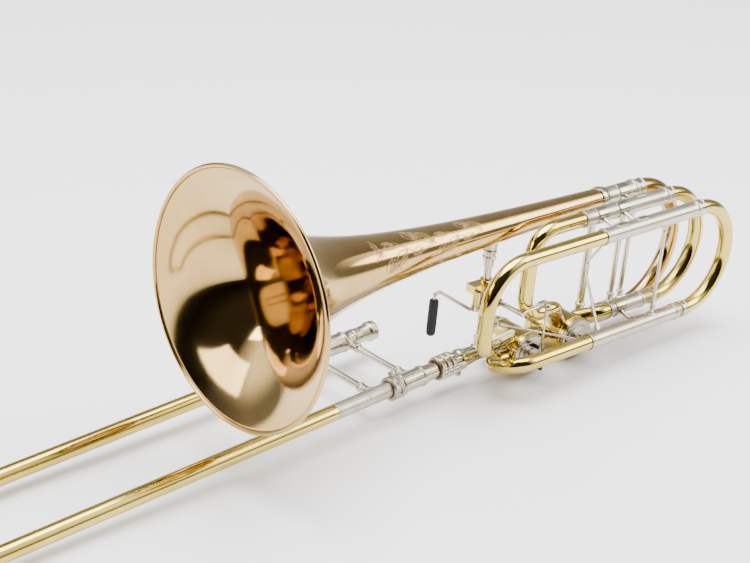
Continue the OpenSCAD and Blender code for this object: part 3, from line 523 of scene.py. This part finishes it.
def engravedVine(sheet, u, v):
    # leaves and flowers along a wavy stem, as a mask of cut lines. The stem is the curve
    # across = A sin(k along); leaf n starts at every crest, and a leaf is the region where the
    # distance from its midrib is less than width sin(pi t) with t from 0 to 1 along it
    look = vine
    radius = look["radius"]
    across = (u - look["centre"]) * (2 * math.pi * radius)
    along = v - look["start"]
    inBand = along.ramp(0.0, 0.004) * (1.0 - along.ramp(look["length"], look["length"] + 0.004))
    wave = (along * (2 * math.pi / look["pitch"])).sin() * look["swing"]
    offStem = across - wave
    stem = 1.0 - abs(offStem).ramp(look["line"] * 0.5, look["line"])
    lines = stem
    for side in (1.0, -1.0):
        for row, (shift, lean, size) in enumerate(look["leaves"]):
            cell = (along / look["pitch"] + shift + (0.0 if side > 0 else 0.5)).fract() - 0.5
            x = cell * look["pitch"]
            y = (across * side) - look["swing"] * (0.1 + 0.35 * row)
            c, s = math.cos(lean), math.sin(lean)
            t = (x * c + y * s) / size
            w = (y * c - x * s) / size
            half = (t.most(0.0).least(1.0) * math.pi).sin() * look["leafWidth"]
            edgeCurl = (t * 38.0).sin() * 0.02
            outline = 1.0 - abs(abs(w) - half - edgeCurl * half).ramp(0.010, 0.028)
            inLeaf = t.above(0.0) * t.below(1.0)
            inside = (half - abs(w)).above(0.0) * inLeaf
            rib = (1.0 - abs(w).ramp(0.008, 0.02)) * inside
            hatch = ((abs(w) * 1.6 + t) * 74.0).sin().ramp(0.1, 0.8) * inside * w.above(0.02)
            lines = lines.most(outline * inLeaf).most(rib).most(hatch * 0.6)
    for shift, height, size in look["flowers"]:
        cell = (along / look["pitch"] + shift).fract() - 0.5
        x, y = cell * look["pitch"] / size, (across - height) / size
        r = (x * x + y * y) ** 0.5
        angle = sheet.add("ShaderNodeMath", {"operation": "ARCTAN2"}, y, x).out()
        petal = 0.72 + (angle * 5.0).cos() * 0.28
        rim = 1.0 - abs(r - petal).ramp(0.03, 0.09)
        eye = 1.0 - abs(r - 0.2).ramp(0.03, 0.08)
        veins = (angle * 30.0).sin().ramp(0.2, 0.9) * r.below(petal * 0.72) * r.above(0.26)
        lines = lines.most(rim).most(eye).most(veins * 0.6)
    return lines * inBand


vine = {"centre": 0.885, "radius": 0.030, "start": 0.190, "length": 0.150, "pitch": 0.072,
        "swing": 0.009, "line": 0.0006, "leafWidth": 0.26,
        "leaves": [(0.0, 0.75, 0.024), (0.3, 0.35, 0.017), (0.68, 1.15, 0.020)],
        "flowers": [(0.25, -0.014, 0.0075), (0.75, 0.016, 0.0075), (0.5, 0.0, 0.0055)]}


def roseBell(key, slotName, look, shadedEngraving):
    # spun rose brass: a redder colour in clouds, faint turning marks round the axis, smears in
    # the lacquer, and an engraved vine on the outside of the stem
    sheet = Sheet(key)
    point, wrapped = sheet.objectPoint(), sheet.uvPoint()
    u, v, _ = sheet.split(wrapped)
    cloud = sheet.noise(point, 7.0, 4.0, 0.6, 0.6)
    smear = sheet.noise(sheet.scaled(wrapped, 7.0, 22.0, 1.0), 1.0, 4.0, 0.6, 1.0)
    turnedMarks = sheet.noise(sheet.scaled(wrapped, 3.0, 3400.0, 1.0), 1.0, 2.0, 0.5)
    spots = sheet.noise(point, 210.0, 4.0, 0.6).ramp(0.71, 0.77)
    streaks = sheet.noise(sheet.scaled(wrapped, 60.0, 5.0, 1.0), 1.0, 3.0, 0.6, 0.5)
    colour = sheet.blend(cloud.ramp(0.3, 0.75), look["colour"], look["deep"])
    colour = sheet.blend(spots * 0.4, colour, look["spot"])
    roughness = (look["rough"] + (smear - 0.5) * 0.07 + (streaks - 0.5) * 0.03 + spots * 0.15
                 + (turnedMarks - 0.5) * 0.02)
    height = turnedMarks * 0.5 - spots * 0.3
    wave = sheet.noise(point, 11.0, 1.0, 0.4)
    normal = sheet.bump(wave, 0.0009)
    normal = sheet.bump(height, 0.000016, 1.0, normal)
    if shadedEngraving:
        # the engraved lines get a dark colour that is painted shade in the cut grooves; the bump
        # gives the cut itself
        cut = engravedVine(sheet, u, v)
        colour = sheet.blend(cut * 0.85, colour, look["shadedEngraving"])
        roughness = roughness + cut * 0.3
        normal = sheet.bump(-cut, 0.00012, 1.0, normal)
    material = sheet.finish(colour, roughness.most(0.02), normal, 1.0,
                            **{"Coat Weight": 0.15, "Coat Roughness": 0.03, "Coat IOR": 1.5})
    addFinish(key, slotName, material)
    return material


# the dark engraving colour is painted shade for the engraved grooves
roseLook = {"colour": (0.57, 0.375, 0.14), "deep": (0.43, 0.265, 0.08), "spot": (0.34, 0.18, 0.09),
            "rough": 0.09, "shadedEngraving": (0.20, 0.12, 0.05)}
roseBell("roseBrass", "rose_brass", roseLook, True)
roseBell("rosePlain", "rose_brass", roseLook, False)


def blackRubber(key, slotName):
    # matt rubber with a fine grain, paler where it is rubbed
    sheet = Sheet(key)
    point = sheet.objectPoint()
    grain = sheet.noise(point, 2600.0, 3.0, 0.7)
    rubbed = sheet.noise(point, 90.0, 4.0, 0.6).ramp(0.5, 0.75)
    dust = sheet.noise(point, 500.0, 2.0, 0.5).ramp(0.62, 0.7)
    colour = sheet.blend(rubbed * 0.5, (0.004, 0.004, 0.004), (0.016, 0.015, 0.014))
    colour = sheet.blend(dust * 0.1, colour, (0.12, 0.11, 0.10))
    roughness = 0.52 - rubbed * 0.14 + (grain - 0.5) * 0.2
    normal = sheet.bump(grain, 0.00006)
    addFinish(key, slotName, sheet.finish(colour, roughness, normal, 0.0,
                                          **{"Specular IOR Level": 0.3}))


blackRubber("rubber", "black_rubber")
print("finishes made:", len(finishes))

# ---- CAD pieces that keep their own shape

slotFinish = {"rose_brass": "rosePlain", "rose_brass_wire": "rosePlain",
              "yellow_brass": "yellowBrass", "nickel_silver": "nickelSilver",
              "hard_chrome": "hardChrome", "bronze": "rotorBronze", "black_rubber": "rubber"}
wornNodes = ["thumb_bracket", "thumb_link", "finger_link_rod", "stop_arm_1", "stop_arm_2",
             "neckpipe"]
brassNodes = ["finger_clamp"]
for part in frame["record"]["subparts"]:
    node = frame["nodes"][part["node"]]
    finish = slotFinish[part["material_slot"]]
    if part["node"] in wornNodes:
        finish = "wornNickel"
    if part["node"] in brassNodes:
        finish = "yellowBrass"
    node.data.materials.clear()
    node.data.materials.append(finishes[finish]["material"])

# ---- bell

bellShape = {
    "rimRadius": 120.65, "wire": 2.0, "length": 483.0, "flareLength": 40.0, "power": 0.915,
    "wall": 0.7, "stations": 84, "around": 224,
}


def bellRadius(x):
    # radius = rim radius (1 + x / flare length)^-power
    rim = bellShape["rimRadius"] - bellShape["wire"] - 0.6
    return rim * (1 + (x - bellShape["wire"]) / bellShape["flareLength"]) ** -bellShape["power"]


def bellOutline():
    # outside wall from the stem's end to the rim, round the rim wire, and back along the inside
    wire, length = bellShape["wire"], bellShape["length"]
    t = np.linspace(1, 0, bellShape["stations"])
    x = wire + 0.7 + (length - wire - 0.7) * t ** 2.2
    slope = (bellRadius(x + 0.05) - bellRadius(x - 0.05)) / 0.1
    scale = np.sqrt(1 + slope ** 2)
    outer = np.stack([x, bellRadius(x)], 1)
    inner = np.stack([x + bellShape["wall"] * slope / scale,
                      bellRadius(x) - bellShape["wall"] / scale], 1)[::-1]
    inner[:, 0] = np.clip(inner[:, 0], wire + 0.2, length)
    w = np.radians(np.linspace(38, 322, 22))
    centre = bellShape["rimRadius"] - wire
    bead = np.stack([wire + wire * np.cos(w), centre + wire * np.sin(w)], 1)
    return np.concatenate([outer, bead, inner])


axisZ = layout["bellAxisZ"]
bellPath = straightPath((0, 0, axisZ), (bellShape["length"], 0, axisZ))
bellGrid = bellPlace(carry(bellPath, bellOutline(), bellShape["around"]))
addPiece("bellFlare", gridMesh("bellFlare", bellGrid, True, 60.0), "bell_section", "roseBrass",
         ("bell", "rim_wire"))
print("bell made")

# ---- hand slide, u from the bell-lock nut towards the crook

spacing = layout["slideSpacing"]


def onSlide(name, y, profile, body, finish, stands=(), **more):
    # a lathe piece about a slide tube, its profile given in (u, radius)
    return turned(name, (0, y, 0), (-800, y, 0), profile, body, finish, stands,
                  place=slidePlace, **more)


def barProfile(s0, s1, r, socket, length):
    # a cross bar with a ringed socket at each end, as a half section from one end to the other
    half = [(0.0, 0.0), (0.0, socket), (1.8, socket), (2.3, socket - 0.8),
            (length - 3.2, socket - 0.8), (length - 2.8, socket), (length - 1.2, socket),
            (length - 0.2, r + 0.5), (length, r)]
    return [(s0 + s, q) for s, q in half] + [(s1 - s, q) for s, q in reversed(half)]


def crossBar(name, a, b, start, stop, size, body, finish, stands=(), place=bellPlace, feet=()):
    # a bar from a to b between two tubes, whose surfaces are at start and stop, and the oval
    # feet it stands on: (which end, radius of that tube, half length, half width)
    turned(name, a, b, barProfile(start, stop, *size), body, finish, stands, place=place,
           solid=True, around=40, corner=0.3)
    a, b = np.asarray(a, float), np.asarray(b, float)
    for index, (end, r, halfLength, halfWidth) in enumerate(feet):
        centre, outward = (a, b - a) if end == "a" else (b, a - b)
        ovalFoot(name + "Foot" + str(index), centre, (1, 0, 0), outward, r, halfLength,
                 halfWidth, 1.0, body, finish, place)


nut = {"coreR": 10.5, "bore": 8.6, "core": (-11.6, 11.8), "beads": (-7.2, 0.2, 7.6),
       "beadR": 12.3, "halfWidth": 3.3, "knurls": 72, "knurlDepth": 0.28}
onSlide("nutCore", 0, tubeWall(*nut["core"], nut["coreR"], nut["bore"]),
        "bell_lock_nut", "patina", ("bell_lock_nut",))
for index, middle in enumerate(nut["beads"]):
    w, r, inner = nut["halfWidth"], nut["beadR"], nut["coreR"] - 0.2
    onSlide("nutBead" + str(index), 0,
            [(middle - w, inner), (middle - w, r - 1.1), (middle - w + 1.0, r),
             (middle + w - 1.0, r), (middle + w, r - 1.1), (middle + w, inner)],
            "bell_lock_nut", "nickelSilver", around=288,
            flutes=(nut["knurls"], nut["knurlDepth"], middle - w + 0.5, middle + w - 0.5))

barrel = [(30.0, 8.0), (30.0, 10.5), (33.0, 10.5), (33.6, 9.7), (64.0, 9.9), (66.0, 9.9),
          (66.0, 8.95), (44.0, 8.95), (44.0, 7.55), (31.0, 7.4)]
onSlide("nearBarrel", 0, barrel, "bell_section", "nickelSilver")
onSlide("nearTenon", 0, [(-20.0, 7.2), (-20.0, 8.0), (12.0, 8.2), (29.0, 8.9), (30.4, 8.9),
                         (30.4, 7.2)], "bell_section", "nickelSilver", ("near_cork_barrel",))
lockRing = [(58.0, 10.08), (58.0, 10.8), (59.0, 11.6), (60.4, 11.6), (61.4, 10.9), (62.4, 12.0),
            (66.0, 12.0), (67.0, 11.0), (68.0, 12.0), (73.6, 12.0), (74.6, 11.2), (75.0, 9.9),
            (75.0, 8.8), (66.5, 8.8), (66.5, 10.08)]
onSlide("lockRing", 0, lockRing, "slide_lock_ring", "wornNickel", around=240,
        flutes=(60, 0.35, 62.6, 73.6))
# the knob stands on a tab that is turned 62 degrees towards the loops
tab = math.radians(-62)
up = np.array([0.0, -math.sin(tab), math.cos(tab)])
knobFoot = np.array([-60.0, 0, 0])
turned("lockKnob", knobFoot + 10.0 * up, knobFoot + 17.0 * up,
       [(0, 0), (0, 3.4), (1.2, 3.4), (1.8, 2.0), (3.0, 2.0), (3.6, 2.7), (6.2, 2.7), (6.8, 1.6),
        (6.8, 0)], "slide_lock_ring", "nickelSilver", ("slide_lock_ring",), place=slidePlace,
       solid=True, around=32)

farBarrel = [(34.0, 7.55), (34.0, 9.2), (40.0, 9.2), (43.0, 9.7), (45.4, 10.9), (47.2, 10.9),
             (48.0, 10.1), (70.6, 10.3), (71.2, 10.9), (73.4, 10.9), (74.0, 10.3), (74.0, 8.95),
             (46.0, 8.95), (46.0, 7.55)]
onSlide("farBarrel", spacing, farBarrel, "bell_section", "nickelSilver", ("far_cork_barrel",))
receiver = [(3.0, 6.36), (3.0, 9.0), (4.0, 10.2), (6.0, 10.45), (11.6, 10.3), (12.8, 9.8),
            (14.0, 8.8), (24.0, 8.5), (30.0, 9.1), (32.0, 9.4), (33.9, 9.2), (33.9, 7.0),
            (31.0, 6.36)]
onSlide("shankReceiver", spacing, receiver, "bell_section", "wornNickel",
        ("mouthpiece_receiver",))

slideTubes = {"innerR": 7.5, "bore": 7.135, "topR": 7.95, "brassR": 8.1, "outerBore": 7.55,
              "brassFrom": 144.0, "topFrom": 68.0}
for side, y in (("near", 0.0), ("far", spacing)):
    onSlide(side + "InnerTube", y, tubeWall(34.5, 730, slideTubes["innerR"], slideTubes["bore"]),
            "bell_section", "hardChrome", ("inner_slide_tubes",) if y else (), step=6.0)
    onSlide(side + "SlideTop", y, tubeWall(slideTubes["topFrom"], slideTubes["brassFrom"] - 0.05,
                                          slideTubes["topR"], slideTubes["outerBore"]),
            "outer_slide", "frostedNickel", ("outer_slide_tops",) if y else (), step=6.0)
    onSlide(side + "OuterTube", y, tubeWall(slideTubes["brassFrom"], 737.9, slideTubes["brassR"],
                                           slideTubes["outerBore"]),
            "outer_slide", "yellowBrass", ("outer_slide_tubes",) if y else (), step=6.0)
    onSlide(side + "CrookFerrule", y, collar(727, 740, 8.1, 9.0, 0.5), "outer_slide",
            "nickelSilver")

braces = [
    {"name": "innerBrace", "u": 42.0, "radii": (9.9, 9.9), "size": (3.3, 5.2, 13.0),
     "body": "bell_section", "stands": ("inner_brace",)},
    {"name": "outerBrace", "u": 92.0, "radii": (7.95, 7.95), "size": (3.7, 5.4, 15.0),
     "body": "outer_slide", "stands": ("outer_brace",)},
]
for brace in braces:
    u, (nearR, farR) = brace["u"], brace["radii"]
    crossBar(brace["name"], (-u, 0, 0), (-u, spacing, 0), nearR - 0.6, spacing - farR + 0.6,
             brace["size"], brace["body"], "nickelSilver", brace["stands"], slidePlace,
             [("a", nearR, 9.0, 6.4), ("b", farR, 9.0, 6.4)])

crookR, endU = spacing / 2, layout["slideLength"]
crookPath = bentPath([(-endU, 0, 0), (-endU - crookR, 0, 0), (-endU - crookR, spacing, 0),
                      (-endU, spacing, 0)], [crookR, crookR])
pipe("slideCrook", crookPath, tubeWall(0, crookPath["s"][-1], 8.5, 7.55), "outer_slide",
     "yellowBrass", ("slide_crook",), place=slidePlace, around=48)
print("hand slide made")

# ---- tuning loops

loops = [
    {"name": "main", "y": 0.0, "high": 138.0, "low": 0.0, "bowAt": 547.0, "ferrule": 11.0,
     "legR": 8.8, "sleeveR": 9.8, "legFrom": (490.0, 508.5), "sleeves": ((486, 536), (503, 536)),
     "body": "main_tuning_slide", "bow": "rosePlain"},
    {"name": "f", "y": -62.0, "high": 131.0, "low": 14.5, "bowAt": 573.5, "ferrule": 8.0,
     "legR": 7.7, "sleeveR": 8.4, "legFrom": (429.0, 431.0), "sleeves": ((416, 566), (418, 558)),
     "body": "f_tuning_slide", "bow": "yellowBrass"},
    {"name": "d", "y": -31.0, "high": 138.0, "low": 22.0, "bowAt": 559.5, "ferrule": 8.0,
     "legR": 7.7, "sleeveR": 8.4, "legFrom": (432.0, 490.0), "sleeves": ((419, 552), (482, 537)),
     "body": "d_tuning_slide", "bow": "yellowBrass"},
]


def onBell(name, y, z, profile, body, finish, stands=(), **more):
    # a lathe piece about a line along the bell's x
    return turned(name, (0, y, z), (700, y, z), profile, body, finish, stands, **more)


def addLoop(loop):
    y, bowAt, legR, sleeveR = loop["y"], loop["bowAt"], loop["legR"], loop["sleeveR"]
    bow, name, body = loop["name"] + "_bow", loop["name"], loop["body"]
    for side, level in enumerate(("high", "low")):
        z, (s0, s1), start = loop[level], loop["sleeves"][side], loop["legFrom"][side]
        out, bore = sleeveR, legR + 0.06
        wall = [(s0, bore), (s0, out + 0.5), (s0 + 1.6, out + 0.6), (s0 + 2.2, out),
                (s1 - 4.4, out), (s1 - 3.9, out + 0.85), (s1 - 0.8, out + 0.85),
                (s1, out + 0.2), (s1, bore)]
        onBell(name + level.title() + "Sleeve", y, z, wall, "bell_section", "satinNickel",
               (name + "_" + level + "_sleeve",), step=8.0)
        onBell(name + level.title() + "Leg", y, z, tubeWall(start, bowAt - 1.0, legR, legR - 0.55),
               body, "agedBrass", (name + "_legs",) if level == "high" else (), step=8.0)
        f0, f1, r = bowAt - loop["ferrule"], bowAt + 1.0, legR
        ferrule = [(f0, r - 0.3), (f0, r + 1.2), (f0 + 1.8, r + 1.25), (f0 + 2.3, r + 0.8),
                   (f1 - 2.2, r + 0.8), (f1 - 1.8, r + 1.2), (f1 - 0.4, r + 1.2), (f1, r + 0.5),
                   (f1, r - 0.3)]
        onBell(name + level.title() + "Ferrule", y, z, ferrule, body, "nickelSilver")
    r = (loop["high"] - loop["low"]) / 2
    path = bentPath([(bowAt - 0.4, y, loop["high"]), (bowAt + r, y, loop["high"]),
                     (bowAt + r, y, loop["low"]), (bowAt - 0.4, y, loop["low"])], [r, r])
    pipe(name + "Bow", path, tubeWall(0, path["s"][-1], legR + 0.3, legR - 0.55), body,
         loop["bow"], (bow,), around=56)


for loop in loops:
    addLoop(loop)
print("tuning loops made")

# ---- posts

posts = [
    {"name": "postOne", "x": 476.0, "y": 0.0, "z": (8.8, 125.6), "size": (4.1, 5.6, 12.0),
     "stands": ("brace_post_1",), "body": "bell_section", "feet": [("a", 8.8)], "low": 0.0},
    {"name": "postTwo", "x": 526.0, "y": 0.0, "z": (9.4, 128.6), "size": (2.9, 4.3, 11.0),
     "stands": ("brace_post_2",), "body": "bell_section", "feet": [("a", 9.8), ("b", 9.8)],
     "low": 0.0},
    {"name": "slideBrace", "x": 542.0, "y": 0.0, "z": (9.6, 128.4), "size": (2.7, 3.9, 10.0),
     "stands": ("main_slide_brace",), "body": "main_tuning_slide",
     "feet": [("a", 10.0), ("b", 10.0)], "low": 0.0},
    {"name": "loopStrut", "x": 519.0, "y": -62.0, "z": (22.6, 122.9), "size": (1.7, 2.9, 9.0),
     "stands": ("loop_strut",), "body": "bell_section", "feet": [("a", 8.4), ("b", 8.4)],
     "low": 14.5},
]
for post in posts:
    x, y, low = post["x"], post["y"], post["low"]
    high = 131.0 if post["name"] == "loopStrut" else axisZ
    size = 4.6 if post["name"] == "slideBrace" else 6.5
    crossBar(post["name"], (x, y, low), (x, y, high), post["z"][0] - low, post["z"][1] - low,
             post["size"], post["body"], "nickelSilver", post["stands"],
             feet=[(end, r, size, size - 1.0) for end, r in post["feet"]])
turned("bellBracePost", (322, 0, 0), (322, 0, 138),
       [(8.0, 0), (8.0, 7.4), (10.4, 7.5), (12.0, 5.4), (21.0, 5.4), (22.0, 4.0), (98.0, 4.0),
        (98.6, 5.4), (106.0, 5.4), (106.6, 7.0), (108.6, 7.2), (109.6, 5.8), (112.0, 5.8),
        (113.0, 7.2), (115.0, 7.2), (117.0, 6.4), (123.4, 7.6), (123.4, 0)],
       "bell_section", "nickelSilver", ("bell_brace",), solid=True, around=48)
print("posts made")

# ---- valves, profile along y

valves = {"front": -28.0, "back": 20.0, "casing": 22.95, "rotor": 19.1}
for index, x in enumerate(layout["valveX"]):
    label = str(index + 1)
    front, back, r = valves["front"], valves["back"], valves["casing"]
    turned("casing" + label, (x, 0, 0), (x, 1, 0),
           [(front, valves["rotor"]), (front, r - 0.5), (front + 3.0, r - 0.5), (front + 3.3, r),
            (front + 6.0, r), (front + 6.3, r - 0.6), (back - 6.3, r - 0.6), (back - 6.0, r),
            (back - 3.3, r), (back - 3.0, r - 0.5), (back, r - 0.5), (back, valves["rotor"])],
           "bell_section", "yellowBrass", ("valve_" + label + "_casing",), around=96)
    turned("frontCap" + label, (x, 0, 0), (x, 1, 0),
           [(-32.9, 3.3), (-32.9, 7.2), (-32.4, 8.2), (-31.2, 8.2), (-30.9, 14.0), (-30.4, 14.6),
            (-30.9, 15.4), (-31.0, 20.4), (-30.4, 21.9), (-28.1, 21.9), (-28.1, 3.3)],
           "bell_section", "wornNickel", ("valve_" + label + "_caps",), around=192,
           flutes=(64, 0.4, -30.4, -28.3))
    turned("backCap" + label, (x, 0, 0), (x, 1, 0),
           [(20.1, 0), (20.1, 21.9), (23.2, 21.9), (24.0, 21.0), (24.2, 17.0), (25.6, 16.4),
            (25.9, 15.4), (25.5, 9.0), (25.2, 0)],
           "bell_section", "wornNickel", around=192, solid=True, flutes=(64, 0.4, 20.4, 23.2))
turned("fingerTouch", (250, 0, 79), (250, 0, 40),
       [(0.1, 0), (0.1, 3.6), (1.0, 4.5), (4.0, 4.8), (30.0, 4.8), (36.0, 4.6), (38.4, 3.2),
        (39.0, 0)], "finger_trigger", "rubber", ("finger_grip",), solid=True, around=40,
       corner=1.2)
print("valves made")

# ---- floor, light and camera

studio = {"floor": (0.93, 0.925, 0.94), "riseFrom": 4.2, "riseRadius": 2.5}


def addFloor():
    # a flat floor that rises behind in a quarter circle, so that no horizon line shows
    turn = np.linspace(0.1, math.pi / 2, 24)
    start, radius = studio["riseFrom"], studio["riseRadius"]
    y = np.concatenate([[-8.0, -4.0, 0.0, 2.0, start], start + radius * np.sin(turn),
                        [start + radius]])
    z = np.concatenate([[0.0] * 5, radius - radius * np.cos(turn), [9.0]])
    x = np.linspace(-9, 9, 5)
    # the sweep faces the camera, which looks along +X +Y
    forward, right = np.array([0.707, 0.707, 0]), np.array([0.707, -0.707, 0])
    grid = (x[None, :, None] * right + y[:, None, None] * forward
            + z[:, None, None] * np.array([0, 0, 1.0]))
    rows, cols = grid.shape[:2]
    i, j = np.meshgrid(np.arange(rows - 1), np.arange(cols - 1), indexing="ij")
    a = (i * cols + j).ravel()
    faces = np.stack([a, a + 1, a + cols + 1, a + cols], 1)
    mesh = bpy.data.meshes.new("studioSweep")
    mesh.from_pydata(grid.reshape(-1, 3).tolist(), [], faces.tolist())
    mesh.shade_smooth()
    floor = bpy.data.objects.new("studioSweep", mesh)
    bpy.context.scene.collection.objects.link(floor)
    sheet = Sheet("paleFloor")
    grain = sheet.noise(sheet.objectPoint(), 3.0, 3.0, 0.5)
    tone = sheet.blend(grain, studio["floor"], tuple(0.985 * c for c in studio["floor"]))
    mesh.materials.append(sheet.finish(tone, 0.6, None, 0.0))
    return floor


def addLight(name, place, aim, size, power, colour=(1.0, 1.0, 1.0)):
    light = bpy.data.lights.new(name, "AREA")
    light.shape, light.size, light.size_y = "RECTANGLE", size[0], size[1]
    light.energy, light.color = power, colour
    obj = bpy.data.objects.new(name, light)
    obj.location = place
    obj.rotation_euler = (Vector(aim) - Vector(place)).to_track_quat("-Z", "Y").to_euler()
    bpy.context.scene.collection.objects.link(obj)
    return obj


lights = [
    {"name": "overheadSoftbox", "place": (0.3, 0.2, 3.0), "aim": (0.1, 0.0, 0.1),
     "size": (2.6, 2.2), "power": 240.0},
    {"name": "leftSoftbox", "place": (-2.4, 1.2, 1.7), "aim": (0.0, 0.0, 0.2),
     "size": (1.8, 1.6), "power": 60.0},
    {"name": "rightSoftbox", "place": (2.2, -1.4, 1.6), "aim": (0.2, 0.0, 0.15),
     "size": (1.4, 1.6), "power": 60.0},
]


def addWorld():
    # a pale room: bright overhead and behind, with a dim wall on the side the camera stands,
    # so that polished tubes carry dark lines between the highlights
    world = bpy.data.worlds.new("studio")
    bpy.context.scene.world = world
    world.use_nodes = True
    tree = world.node_tree
    back = tree.nodes["Background"]
    coords = tree.nodes.new("ShaderNodeTexCoord")
    dot = tree.nodes.new("ShaderNodeVectorMath")
    dot.operation = "DOT_PRODUCT"
    dot.inputs[1].default_value = (-0.80, -0.58, 0.14)
    tree.links.new(coords.outputs["Generated"], dot.inputs[0])
    ramp = tree.nodes.new("ShaderNodeValToRGB")
    ramp.color_ramp.elements[0].position, ramp.color_ramp.elements[0].color = 0.10, (1, 1, 1, 1)
    ramp.color_ramp.elements[1].position = 0.48
    ramp.color_ramp.elements[1].color = (0.02, 0.018, 0.015, 1)
    middle = ramp.color_ramp.elements.new(0.26)
    middle.color = (0.55, 0.55, 0.56, 1)
    tree.links.new(dot.outputs["Value"], ramp.inputs["Fac"])
    tree.links.new(ramp.outputs["Color"], back.inputs["Color"])
    # the walls are darker than the ceiling
    height = tree.nodes.new("ShaderNodeSeparateXYZ")
    tree.links.new(coords.outputs["Generated"], height.inputs[0])
    wall = tree.nodes.new("ShaderNodeMapRange")
    wall.interpolation_type = "SMOOTHSTEP"
    for key, value in (("From Min", 0.12), ("From Max", 0.55), ("To Min", 0.35), ("To Max", 2.5)):
        wall.inputs[key].default_value = value
    tree.links.new(height.outputs["Z"], wall.inputs["Value"])
    tree.links.new(wall.outputs["Result"], back.inputs["Strength"])


def addCamera():
    camera = bpy.data.cameras.new("camera")
    obj = bpy.data.objects.new("camera", camera)
    bpy.context.scene.collection.objects.link(obj)
    bpy.context.scene.camera = obj
    place = bellPlace(np.array([view["place"]]))[0]
    turn = lambda d: tiltUp(np.array(d, float), stand["lean"])
    right, down, forward = (unitRows(turn(view[k])) for k in ("right", "down", "forward"))
    matrix = Matrix([[right[i], -down[i], -forward[i], place[i]] for i in range(3)]
                    + [[0, 0, 0, 1]])
    obj.matrix_world = matrix
    camera.sensor_width, camera.lens = 36.0, view["lens"]
    camera.clip_start, camera.clip_end = 0.05, 60.0
    return obj


view = {"place": (-897.7, -1062.1, 783.6), "lens": 85.37,
        "right": (0.7314, -0.6758, 0.0915), "down": (-0.2146, -0.3555, -0.9097),
        "forward": (0.6473, 0.6457, -0.4050)}

addFloor()
for lamp in lights:
    addLight(**lamp)
addWorld()
addCamera()
print("studio set")
